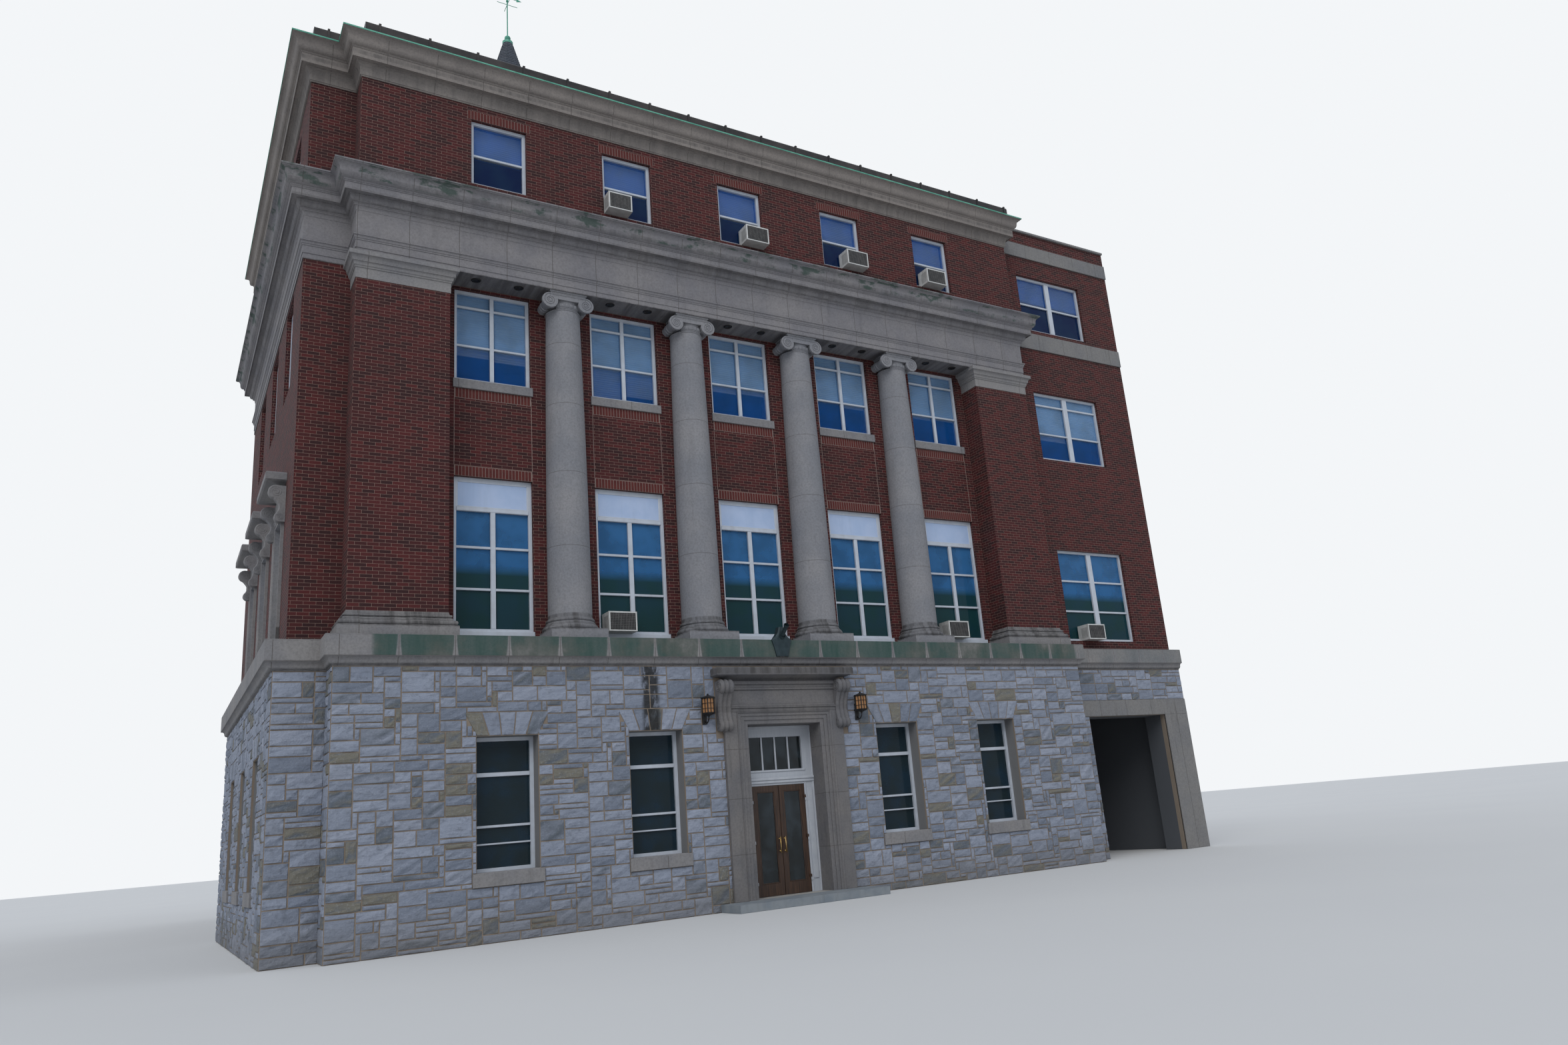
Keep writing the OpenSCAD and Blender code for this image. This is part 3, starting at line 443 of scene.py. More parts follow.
@dataclass(frozen=True)
class RockFace(Finish):
    """Split marble blocks, each with its own tone from white over blue grey to tan.

    The attribute tone picks the block's colour; veins run level through it, and black soot
    comes down under the belt course at the places given.
    """

    runs: tuple[tuple[float, float, float], ...] = ((-3.05, 3.55, 4.90), (9.35, 3.9, 4.9))
    tones: tuple[tuple[float, Colour], ...] = (
        (0.0, (0.265, 0.295, 0.365)), (0.28, (0.222, 0.248, 0.308)),
        (0.46, (0.148, 0.172, 0.220)), (0.58, (0.205, 0.232, 0.292)),
        (0.76, (0.280, 0.305, 0.372)), (0.91, (0.100, 0.118, 0.142)),
        (0.975, (0.168, 0.158, 0.128)))

    def paint(self, s: NodeSheet) -> Inputs:
        """The split stone's inputs."""
        tone = s.node("ShaderNodeAttribute", {"attribute_name": "tone"}, out="Fac")
        x, y, z = s.place
        veins = s.noise(1.0, 6.0, 0.65, s.vector(x * 3.0, y * 3.0, z * 17.0))
        fine = s.noise(30.0, 4.0, 0.7)
        chips = s.noise(9.0, 5.0, 0.6)
        colour = s.node("ShaderNodeValToRGB", {"stops": self.tones}, {"Fac": tone})
        colour = s.mix(veins.step(0.50, 0.72) * 0.5, colour, (0.105, 0.115, 0.14))
        colour = s.mix(chips.step(0.52, 0.7) * 0.35, colour, (0.085, 0.095, 0.115))
        colour = s.mix(fine.step(0.52, 0.76) * 0.32, colour, (0.40, 0.425, 0.47))
        colour = s.mix((1 - z.step(0.0, 0.9)) * 0.45, colour, (0.13, 0.12, 0.105))
        drawn = s.noise(1.0, 3.0, 0.6, s.vector(x * 7.0, y * 7.0, z * 2.5))
        for centre, low, high in self.runs:
            near = (1 - abs(x - centre).step(0.12, 0.23)) * z.between(low, high, 0.25)
            colour = s.mix(near * drawn.step(0.32, 0.5) * 0.93, colour, (0.012, 0.012, 0.012))
        return dict(Base_Color=colour, Roughness=0.78 + fine * 0.15,
                    Normal=s.bump(fine * 0.4 + veins * 0.6 + chips * 1.2, 0.022, 1.0))


@dataclass(frozen=True)
class Slates(Finish):
    """Small blue black slates in courses."""

    def paint(self, s: NodeSheet) -> Inputs:
        """The slates' inputs."""
        along, up, _ = s.wall()
        tones = ((0.018, 0.024, 0.040), (0.045, 0.055, 0.078), (0.006, 0.007, 0.010))
        colour, joints = s.courses(s.vector(along, up), tones,
                                   (Laying.SLATE.value, SLATE_COURSE), 0.003)
        grit = s.noise(20.0)
        return dict(Base_Color=s.mix(grit * 0.4, colour, (0.07, 0.08, 0.085)),
                    Roughness=0.45 + grit * 0.3,
                    Normal=s.bump((1 - joints) + grit * 0.3, 0.006, 0.7))


@dataclass(frozen=True)
class Coating(Finish):
    """A painted, patinated or plain surface with worn patches and fine unevenness.

    Two tones are mixed by cloudy noise; dirt gathers in noise drawn out downwards.
    """

    tone: Colour
    second: Colour
    roughness: float = 0.5
    metallic: float = 0.0
    scale: float = 3.0
    dirt: float = 0.25
    dirt_tone: Colour = (0.05, 0.045, 0.04)
    relief: float = 0.0008

    def paint(self, s: NodeSheet) -> Inputs:
        """The coating's inputs."""
        x, y, z = s.place
        fine = s.noise(self.scale * 18, 3.0)
        drawn = s.noise(1.0, 4.0, 0.6, s.vector(x * 6.0, y * 6.0, z * 0.7))
        cloud = s.noise(self.scale, 5.0, 0.6)
        colour = s.mix(cloud.step(0.35, 0.65), self.tone, self.second)
        colour = s.mix(drawn.step(0.5, 0.8) * self.dirt, colour, self.dirt_tone)
        return dict(Base_Color=colour, Metallic=self.metallic,
                    Roughness=self.roughness + fine * 0.15 - 0.05,
                    Normal=s.bump(fine, self.relief, 0.5))


@dataclass(frozen=True)
class Varnish(Finish):
    """Varnished timber whose grain runs upwards."""

    dark: Colour = (0.022, 0.010, 0.005)
    light: Colour = (0.070, 0.033, 0.016)

    def paint(self, s: NodeSheet) -> Inputs:
        """The timber's inputs."""
        colour, rings = s.timber(self.dark, self.light)
        return dict(Base_Color=colour, Roughness=0.36 + rings * 0.2, Coat_Weight=0.25,
                    Normal=s.bump(rings, 0.0008, 0.5))


@dataclass(frozen=True)
class Pane(Finish):
    """Window glass that shows what is behind it under a sheen of sky, slightly wavy.

    Heights over the ground, divided by the tallest, pick a painted reflection: a dark painted
    reflection on the lower sashes and a pale blue painted sky reflection over the blinds.
    """

    cover: float = 0.66
    tallest: float = 18.0
    # Heights and colours of the painted reflection on the glass.
    painted_reflections: tuple[tuple[float, Colour], ...] = (
        (0.0, (0.016, 0.027, 0.032)), (5.0, (0.016, 0.027, 0.032)), (5.2, (0.008, 0.034, 0.034)),
        (6.9, (0.010, 0.044, 0.050)), (7.1, (0.040, 0.165, 0.38)), (10.5, (0.070, 0.205, 0.42)),
        (10.7, (0.006, 0.085, 0.33)), (11.75, (0.010, 0.095, 0.33)),
        (11.85, (0.13, 0.29, 0.56)), (14.0, (0.16, 0.32, 0.56)),
        (14.2, (0.002, 0.012, 0.055)), (16.0, (0.002, 0.012, 0.055)),
        (16.1, (0.030, 0.120, 0.42)), (18.0, (0.030, 0.120, 0.42)))

    def paint(self, s: NodeSheet) -> Inputs:
        """The glass's inputs."""
        wave = s.noise(2.2, 2.0)
        _, _, z = s.place
        stops = [(height / self.tallest, colour) for height, colour in self.painted_reflections]
        # Painted reflections picked by height: dark low down, pale blue sky over the blinds.
        colour = s.node("ShaderNodeValToRGB", {"stops": stops}, {"Fac": z / self.tallest})
        # Wavy darker blue patches in the painted reflection.
        colour = s.mix(wave.step(0.35, 0.7) * 0.3, colour, (0.012, 0.040, 0.080))
        # The lower panes and the attic's lower panes show more of their dark painted reflection.
        dark_reflection = (1 - z.step(6.9, 7.1)).either(z.between(14.2, 16.0))
        thin = z.between(10.9, 13.2).either(z.between(16.0, 17.0))
        return dict(Base_Color=colour, Roughness=0.05, Specular_IOR_Level=0.14,
                    Alpha=dark_reflection * 0.27 + self.cover - thin * 0.22,
                    Normal=s.bump(wave, 0.004, 0.25))


@dataclass(frozen=True)
class GlazedTimber(Finish):
    """Timber in one solid with its glass, which is told apart by its place.

    A pane is x from, x to, z from and z to; sheet is the y of the glass's two faces.
    """

    dark: Colour
    light: Colour
    panes: tuple[Rectangle, ...]
    sheet: tuple[float, float]
    shine: float = 0.38

    def paint(self, s: NodeSheet) -> Inputs:
        """The inputs of both."""
        x, y, z = s.place
        colour, rings = s.timber(self.dark, self.light)
        near, far = self.sheet
        panes = [(x > left) * (x < right) * (z > low) * (z < high)
                 for left, right, low, high in self.panes]
        glass = reduce(Wire.either, panes) * (y > near) * (y < far)
        # The glass is a dark mottled colour of painted shade, mostly opaque.
        painted_shade_glass = s.mix(s.noise(2.4, 3.0).step(0.4, 0.65), (0.010, 0.014, 0.015),
                       (0.030, 0.042, 0.050))
        return dict(Base_Color=s.mix(glass, colour, painted_shade_glass), Alpha=1 - glass * 0.3,
                    Roughness=(self.shine + rings * 0.2) * (1 - glass) + glass * 0.05,
                    Normal=s.bump(rings * (1 - glass), 0.0008, 0.5))


@dataclass(frozen=True)
class Glow(Finish):
    """Amber glass lit softly from within."""

    def paint(self, s: NodeSheet) -> Inputs:
        """The amber glass's inputs."""
        ripple = s.noise(30.0, 2.0)
        return dict(Base_Color=s.mix(ripple, (0.20, 0.088, 0.034), (0.40, 0.215, 0.095)),
                    Roughness=0.25, Emission_Color=(0.8, 0.36, 0.12), Emission_Strength=0.035,
                    Normal=s.bump(ripple, 0.003, 0.6))


# Mesh making


def xyz(x: Number, y: Number, z: Number) -> np.ndarray:
    """Points from three numbers or arrays that fit each other."""
    return np.stack(np.broadcast_arrays(x, y, z), -1).astype(float)


def quads(rows: int, columns: int, wrap: bool = False) -> np.ndarray:
    """Corners of all faces of a grid of points, whose rows may close on themselves."""
    index = np.arange(rows * columns).reshape(rows, columns)
    if wrap:
        index = np.concatenate([index, index[:1]])
    return np.stack([index[:-1, :-1], index[1:, :-1], index[1:, 1:], index[:-1, 1:]], -1)


@dataclass(frozen=True)
class WallFace:
    """A flat outer wall face on which pieces are laid out.

    A point is given by its distance along the wall, its height and how far it stands out;
    at() turns that into x, y and z for the side that the wall faces.
    """

    facing: Facing
    plane: float
    start: float = 0.0
    end: float = 0.0

    def at(self, along: np.ndarray, up: np.ndarray, out: np.ndarray) -> np.ndarray:
        """Points in the shared frame.

        Args:
            along: Distance along the wall: x, or y on the sides.
            up: Height.
            out: Distance out of the wall.

        Returns:
            An array of points.
        """
        axis, outwards = self.facing.value
        place = self.plane + outwards * out
        return xyz(along, place, up) if axis else xyz(place, along, up)

    def handed(self) -> bool:
        """True where along and up turn the faces inwards."""
        axis, outwards = self.facing.value
        return (outwards > 0) == bool(axis)


class Yard:
    """Gathers numpy vertices and faces of one piece and turns them into an object."""

    def __init__(self, name: str, finish: bpy.types.Material, slot: str, body: str = "building",
                 smooth: bool = False) -> None:
        """Starts an empty piece."""
        self.name = name
        self.finish = finish
        self.slot = slot
        self.body = body
        self.smooth = smooth
        self.points: list[np.ndarray] = []
        self.faces: list[np.ndarray] = []
        self.tones: list[np.ndarray] = []
        self.count = 0

    def add(self, points: np.ndarray, faces: np.ndarray, tone: Number = 0.0) -> None:
        """Adds vertices (..., 3) and quads (..., 4), with a tone for each vertex."""
        self.points.append(points.reshape(-1, 3))
        self.faces.append(faces.reshape(-1, 4) + self.count)
        self.tones.append(np.broadcast_to(tone, points.shape[:-1]).ravel())
        self.count += len(self.points[-1])

    def lay(self, points: np.ndarray, faces: np.ndarray, face: WallFace | None) -> None:
        """Adds points made for a wall that looks to -Y, moved onto another face if given."""
        if face is not None:
            points = face.at(points[..., 0], points[..., 2], -points[..., 1])
            faces = faces[..., ::-1] if face.handed() else faces
        self.add(points, faces)

    def sheet(self, grid: np.ndarray, wrap: bool = False, face: WallFace | None = None) -> None:
        """Adds a surface given as a grid (u, v, 3); faces look along u cross v.

        With a wall face, x, -y and z are distances along, out of and up that face.
        """
        self.lay(grid, quads(*grid.shape[:2], wrap), face)

    def boxes(self, x0: Number, x1: Number, y0: Number, y1: Number, z0: Number, z1: Number,
              chamfer: float = 0.0, face: WallFace | None = None) -> None:
        """Adds boxes between three pairs of planes, their edges towards -Y chamfered.

        Each box is an inner front face, a chamfer ring and four sides, closed by a back.
        """
        ends = [np.atleast_1d(a) for a in np.broadcast_arrays(x0, x1, y0, y1, z0, z1)]
        low, high = np.minimum(ends[::2], ends[1::2]), np.maximum(ends[::2], ends[1::2])
        (left, near, foot), (right, far, head) = low, high
        rings = []
        for y, inset in ((near, chamfer), (near + chamfer, 0.0), (far, 0.0)):
            rings += [xyz(left + inset, y, foot + inset), xyz(right - inset, y, foot + inset),
                      xyz(right - inset, y, head - inset), xyz(left + inset, y, head - inset)]
        corners = [[0, 1, 2, 3], [8, 11, 10, 9]]
        corners += [[a + k, a + 4 + k, a + 4 + (k + 1) % 4, a + (k + 1) % 4]
                    for a in (0, 4) for k in range(4)]
        faces = np.asarray(corners) + 12 * np.arange(len(left))[:, None, None]
        self.lay(np.stack(rings, 1), faces, face)

    def border(self, outer: Rectangle, inner: Rectangle, y0: float, y1: float,
               chamfer: float) -> None:
        """Adds four bars between two rectangles, each given as left, right, low and high."""
        (left, right, low, high), (start, end, foot, head) = outer, inner
        self.boxes([left, left, left, end], [right, right, start, right], y0, y1,
                   [low, head, foot, foot], [foot, high, head, head], chamfer)

    def turned(self, profile: Pairs, centre: Sequence[float], around: int,
               axis: str = "z") -> None:
        """Adds a turned shape from (radius, distance) pairs along an axis, listed upwards."""
        r, h = np.asarray(profile, float).T
        angle = np.linspace(0, 2 * np.pi, around, endpoint=False)
        a, b = np.outer(np.cos(angle), r), np.outer(np.sin(angle), r)
        grid = xyz(a, b, h) if axis == "z" else xyz(b, h, a)
        self.sheet(grid + np.asarray(centre, float), wrap=True)

    def tube(self, path: np.ndarray, radius: float, sideways: Sequence[float],
             face: WallFace | None = None, around: int = 6) -> None:
        """Adds a round bar along points (n, 3) of a flat path whose plane's normal is given."""
        across = np.asarray(sideways, float)
        run = np.gradient(path, axis=0)
        run /= np.linalg.norm(run, axis=1, keepdims=True)
        other = np.cross(run, across)
        angle = np.linspace(0, 2 * np.pi, around, endpoint=False)[:, None, None]
        grid = path + radius * (np.cos(angle) * across + np.sin(angle) * other)
        self.sheet(grid, wrap=True, face=face)

    def build(self, replaces: Iterable[str] = ()) -> None:
        """Makes the object, dresses it and lets it ride on its body.

        Args:
            replaces: CAD nodes that this piece stands for.
        """
        points = np.concatenate(self.points)
        faces = np.concatenate(self.faces)
        mesh = bpy.data.meshes.new(self.name)
        mesh.vertices.add(len(points))
        mesh.vertices.foreach_set("co", points.astype(np.float32).ravel())
        mesh.loops.add(faces.size)
        mesh.loops.foreach_set("vertex_index", faces.astype(np.int32).ravel())
        mesh.polygons.add(len(faces))
        mesh.polygons.foreach_set("loop_start", np.arange(0, faces.size, 4, dtype=np.int32))
        mesh.polygons.foreach_set("use_smooth", np.full(len(faces), self.smooth))
        tone = mesh.attributes.new("tone", "FLOAT", "POINT")
        tone.data.foreach_set("value", np.concatenate(self.tones).astype(np.float32))
        mesh.update(calc_edges=True)
        mesh.validate()
        mesh.materials.append(self.finish)
        piece = bpy.data.objects.new(self.name, mesh)
        bpy.context.scene.collection.objects.link(piece)
        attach(piece, self.body)
        if replaces:
            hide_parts(*replaces)
        LOG.info("%s: %d points, %d faces", self.name, len(points), len(faces))


# Palette


COATINGS = {
    "soldier": ("soldier_brick", (0.072, 0.011, 0.009), (0.098, 0.016, 0.012), 0.85, 0.0, 9.0, 0.2,
                (0.02, 0.006, 0.006), 0.002),
    "joint": ("pale_joints", (0.235, 0.165, 0.145), (0.20, 0.145, 0.125), 0.9, 0.0, 9.0),
    "copper": ("green_copper", (0.075, 0.30, 0.215), (0.13, 0.40, 0.29), 0.6, 0.0, 5.0, 0.35,
               (0.05, 0.10, 0.08)),
    "kerb": ("dark_sheet_metal", (0.022, 0.020, 0.020), (0.045, 0.038, 0.036), 0.42, 0.3, 2.0, 0.3,
             (0.08, 0.07, 0.06)),
    "white": ("white_paint", (0.50, 0.54, 0.60), (0.46, 0.49, 0.54), 0.45, 0.0, 4.0, 0.16,
              (0.20, 0.19, 0.17)),
    # The casing paint is the white paint darkened with painted shade of the deep doorway.
    "casing": ("casing_paint", (0.40, 0.42, 0.46), (0.45, 0.47, 0.50), 0.45, 0.0, 4.0, 0.2,
               (0.18, 0.17, 0.16)),
    "panel": ("white_panel", (0.36, 0.465, 0.66), (0.41, 0.505, 0.69), 0.4, 0.0, 2.0, 0.06),
    "blind": ("blind_slats", (0.66, 0.72, 0.64), (0.72, 0.77, 0.68), 0.6, 0.0, 1.0, 0.05),
    "enamel": ("white_enamel", (0.60, 0.60, 0.58), (0.50, 0.50, 0.48), 0.4, 0.1, 6.0, 0.3,
               (0.16, 0.13, 0.10)),
    "grille": ("grey_grille", (0.10, 0.10, 0.10), (0.16, 0.155, 0.15), 0.6, 0.2, 9.0),
    "iron": ("black_iron", (0.014, 0.013, 0.013), (0.028, 0.025, 0.023), 0.45, 0.5, 8.0, 0.2,
             (0.06, 0.03, 0.02)),
    "shield": ("cast_shield", (0.016, 0.030, 0.036), (0.026, 0.045, 0.052), 0.5, 0.4, 7.0, 0.3,
               (0.05, 0.05, 0.045)),
    "brass": ("worn_brass", (0.42, 0.27, 0.09), (0.55, 0.38, 0.16), 0.32, 0.9, 10.0),
    "concrete": ("floor_screed", (0.36, 0.35, 0.33), (0.30, 0.29, 0.27), 0.9, 0.0, 1.2),
    "roofing": ("roof_felt", (0.055, 0.055, 0.057), (0.085, 0.083, 0.08), 0.9, 0.0, 0.8, 0.3,
                (0.12, 0.11, 0.10)),
    "step": ("step_stone", (0.165, 0.19, 0.215), (0.215, 0.235, 0.25), 0.8, 0.0, 2.5, 0.35,
             (0.09, 0.085, 0.08), 0.003),
}
LIMESTONES = {
    "belt": dict(name="belt_stone", origin=-8.895, algae=(5.075, 5.44, 0.95), drips=0.3,
                 joints_at=(5.066,), soot_and_shade_bands=((5.44, 5.47, 0.4), (4.90, 4.93, 0.6))),
    "entablature": dict(name="entablature_stone", stone=(0.180, 0.175, 0.188),
                        warm=(0.232, 0.220, 0.222), origin=-8.76, drips=0.22,
                        patches=((14.62, 14.92, 0.8),),
                        # The band from 14.20 to 14.38 is painted shade on the bed moulding under the
                        # cornice.
                        soot_and_shade_bands=((13.12, 13.134, 0.7), (14.20, 14.38, 0.38),
                                    (14.60, 14.66, 0.4))),
    "crown": dict(name="crown_stone", stone=(0.196, 0.174, 0.160), warm=(0.250, 0.222, 0.200),
                  origin=-8.3, drips=0.28,
                  # The band from 17.24 to 17.50 is painted shade on the bed cove under the corona.
                  soot_and_shade_bands=((17.24, 17.50, 0.3), (17.60, 17.66, 0.5))),
    "column": dict(name="column_stone", stone=(0.200, 0.204, 0.222), warm=(0.250, 0.246, 0.255),
                   pitch=60.0, origin=30.0, drips=0.18, joints_at=(7.42, 9.02, 10.55, 11.95),
                   soot_and_shade_bands=((5.66, 6.0, 0.85),)),
    "trim": dict(name="dressed_stone", pitch=1.9, origin=0.95, soot_and_shade_bands=((5.66, 5.97, 0.85),)),
    "wing_band": dict(name="wing_band_stone", stone=(0.165, 0.165, 0.172),
                      warm=(0.205, 0.198, 0.190), drips=0.5, origin=9.2),
    "door_stone": dict(name="portal_stone", stone=(0.125, 0.124, 0.132),
                       warm=(0.178, 0.166, 0.160), pitch=9.0, origin=4.5, drips=0.42,
                       soot_and_shade_bands=((4.70, 4.9, 0.9), (3.92, 4.02, 0.4)),
                       joints_at=(1.05, 2.15, 3.15)),
}
OTHERS = {
    "brick": Brickwork("red_face_brick"),
    "pointing": MortarBed("tan_pointing"),
    "rock": RockFace("rock_faced_stone"),
    "slates": Slates("blue_slates"),
    "wood": Varnish("door_timber"),
    "leaf": GlazedTimber("glazed_door_timber", (0.022, 0.010, 0.005), (0.070, 0.033, 0.016),
                         ((-0.533, -0.117, 0.401, 2.269), (0.117, 0.533, 0.401, 2.269)),
                         (-5.2035, -5.1865)),
    # The white door frame's timber is darkened with painted shade of the doorway.
    "portal": GlazedTimber("shaded_glazed_white_timber", (0.38, 0.40, 0.44), (0.43, 0.45, 0.48),
                           ((-0.649, 0.649, 2.721, 3.419),), (-5.1755, -5.1525), 0.45),
    "glass": Pane("window_glass"),
    "amber": Glow("amber_glass"),
}
NODE_FINISH = {
    "brick": ("front_window_wall", "brick_side_walls", "brick_cross_walls", "wing_brick_wall",
              "brick_piers", "attic_front_wall", "attic_side_walls", "attic_cross_walls",
              "tower_base"),
    "belt": ("belt_course",),
    "entablature": ("entablature",),
    "crown": ("crowning_cornice", "tower_cornice"),
    "column": ("column_shafts", "column_capitals", "column_bases"),
    "trim": ("pier_bases", "pier_caps", "window_sills"),
    "wing_band": ("wing_bands",),
    "door_stone": ("door_surround",),
    "pointing": ("base_front_left", "base_front_right", "base_over_door", "base_corner",
                 "base_side_walls", "base_cross_walls", "base_wing_front"),
    "slates": ("slate_spire",),
    "copper": ("copper_flashing", "spire_finial", "weathervane"),
    "kerb": ("roof_kerb",),
    "white": ("belfry", "belfry_cornice", "front_window_frames", "attic_window_frames",
              "ground_window_frames", "side_window_frames"),
    "portal": ("door_frame",),
    "concrete": ("ground_slab", "hall_ground_slab", "upper_floors", "hall_floors"),
    "roofing": ("front_roof_deck", "hall_roof_deck"),
    "step": ("doorstep",),
    "leaf": ("left_door", "right_door"),
    "glass": ("front_window_glass", "attic_window_glass", "ground_window_glass",
              "side_window_glass"),
}


class Palette:
    """All finishes of the building, made once."""

    def __init__(self) -> None:
        """Makes every material."""
        finishes: dict[str, Finish] = dict(OTHERS)
        finishes |= {key: Coating(*row) for key, row in COATINGS.items()}
        finishes |= {key: Limestone(**row) for key, row in LIMESTONES.items()}
        self.made = {key: finish.make() for key, finish in finishes.items()}

    def __getitem__(self, key: str) -> bpy.types.Material:
        """A finish by its short name."""
        return self.made[key]

    def dress(self, nodes: dict[str, bpy.types.Object]) -> None:
        """Gives every CAD node its finish, and warns of one that has none.

        Args:
            nodes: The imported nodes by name.
        """
        wanted = {name: key for key, names in NODE_FINISH.items() for name in names}
        for name, node in sorted(nodes.items()):
            if name in wanted:
                node.data.materials.clear()
                node.data.materials.append(self[wanted[name]])
            else:
                LOG.warning("no finish for %s", name)


# Stone ground storey


@dataclass
class Ashlar:
    """Rock faced random ashlar: stones of chance sizes on a fine grid of a wall face.

    The wall is cut into small cells whose lines include every opening's edges. A stone
    covers some free cells; its face is a raised pillow, 1 inside and 0 on its border, times
    a relief, plus a sum of sines with chance phases that breaks it like split rock.

    A hole is from and to along the wall and up it; an arch is its centre, its width at the
    foot and at the top, and its heights.
    """

    face: WallFace
    seed: int
    holes: Sequence[Rectangle] = ()
    arches: Sequence[tuple[float, float, float, float, float]] = ()
    cell: float = 0.096
    rise: float = 0.092
    relief: float = 0.032
    gap: float = 0.0105

    @staticmethod
    def lines(start: float, end: float, marks: Iterable[float], size: float) -> np.ndarray:
        """Grid lines from start to end through every mark, about size apart."""
        stops = sorted({start, end, *(m for m in marks if start < m < end)})
        parts = [np.linspace(a, b, max(1, round((b - a) / size)), endpoint=False)
                 for a, b in zip(stops[:-1], stops[1:])]
        return np.concatenate([*parts, [end]])

    def layout(self) -> np.ndarray:
        """Stones as rows: left and right at the foot, left and right at the top, heights."""
        us = self.lines(self.face.start, self.face.end, [m for h in self.holes for m in h[:2]],
                        self.cell)
        marks = [m for h in self.holes for m in h[2:]] + [m for a in self.arches for m in a[3:]]
        zs = self.lines(0.0, BASE_TOP, marks, self.rise)
        uc, zc = (us[:-1] + us[1:]) / 2, ((zs[:-1] + zs[1:]) / 2)[:, None]
        taken = np.zeros((len(zc), len(uc)), bool)
        for a, b, low, high in self.holes:
            taken |= (uc > a) & (uc < b) & (zc > low) & (zc < high)
        for centre, foot, top, low, high in self.arches:
            half = foot / 2 + (top - foot) / 2 * (zc - low) / (high - low)
            taken |= (np.abs(uc - centre) < half) & (zc > low) & (zc < high)
        chance = np.random.default_rng(self.seed)
        stones = []
        for row, column in np.ndindex(*taken.shape):
            if taken[row, column]:
                continue
            tall = int(chance.choice([1, 2, 3, 4], p=[0.17, 0.50, 0.28, 0.05]))
            wide = int(chance.integers(3, 8)) if tall < 4 else int(chance.integers(4, 7))
            if tall == 1:
                wide = int(chance.integers(4, 9))
            while tall > 1 and (row + tall > len(zc) or taken[row:row + tall, column].any()):
                tall -= 1
            reach = 1
            while (reach < wide and column + reach < len(uc)
                   and not taken[row:row + tall, column + reach].any()):
                reach += 1
            if column + reach + 1 == len(uc) and not taken[row:row + tall, -1].any():
                reach += 1
            taken[row:row + tall, column:column + reach] = True
            ends = us[column], us[column + reach]
            stones.append((*ends, *ends, zs[row], zs[row + tall]))
        return np.asarray(stones + self.voussoirs())

    def voussoirs(self) -> list[tuple[float, ...]]:
        """The arches' stones, five to an arch, as rows like the others."""
        stones = []
        for centre, foot, top, low, high in self.arches:
            below, above = (centre + width / 2 * np.linspace(-1, 1, 6) for width in (foot, top))
            stones += [(*below[k:k + 2], *above[k:k + 2], low, high) for k in range(5)]
        return stones

    def build(self, yard: Yard) -> None:
        """Adds all stones of the wall face to a yard."""
        stones = self.layout()
        chance = np.random.default_rng(self.seed + 100)
        count = len(stones)
        edge = np.array([0.0, 0.02, 0.3, 0.68, 0.98, 1.0])
        s, t = np.meshgrid(edge, edge, indexing="ij")
        inset = self.gap * np.array([1, -1, 1, -1, 1, -1])
        u0, u1, v0, v1, z0, z1 = (stones + inset).T[:, :, None, None]
        left, right = u0 + (v0 - u0) * t, u1 + (v1 - u1) * t
        along = left + (right - left) * s
        up = z0 + (z1 - z0) * t
        rim = (s > 0) & (s < 1) & (t > 0) & (t < 1)
        belly = np.sqrt(np.clip(np.sin(np.pi * s) * np.sin(np.pi * t), 0, 1))
        phase = chance.uniform(0, 2 * np.pi, (4, count, 1, 1))
        broken = (np.sin(along * 23 + phase[0]) * np.sin(up * 31 + phase[1])
                  + 0.6 * np.sin(along * 57 + up * 43 + phase[2])
                  + 0.5 * np.sin(along * 11 - up * 19 + phase[3]))
        proud = chance.uniform(0.35, 1.0, (count, 1, 1))
        out = rim * self.relief * (0.30 + 0.6 * belly * proud + 0.2 * broken)
        faces = quads(len(edge), len(edge))
        faces = faces[..., ::-1] if self.face.handed() else faces
        starts = s.size * np.arange(count)[:, None, None, None]
        tone = np.clip(chance.random((count, 1, 1)) + 0.04 * broken, 0, 1)
        yard.add(self.face.at(along, up, np.clip(out, 0.0, 0.06) + 0.0015), faces + starts, tone)


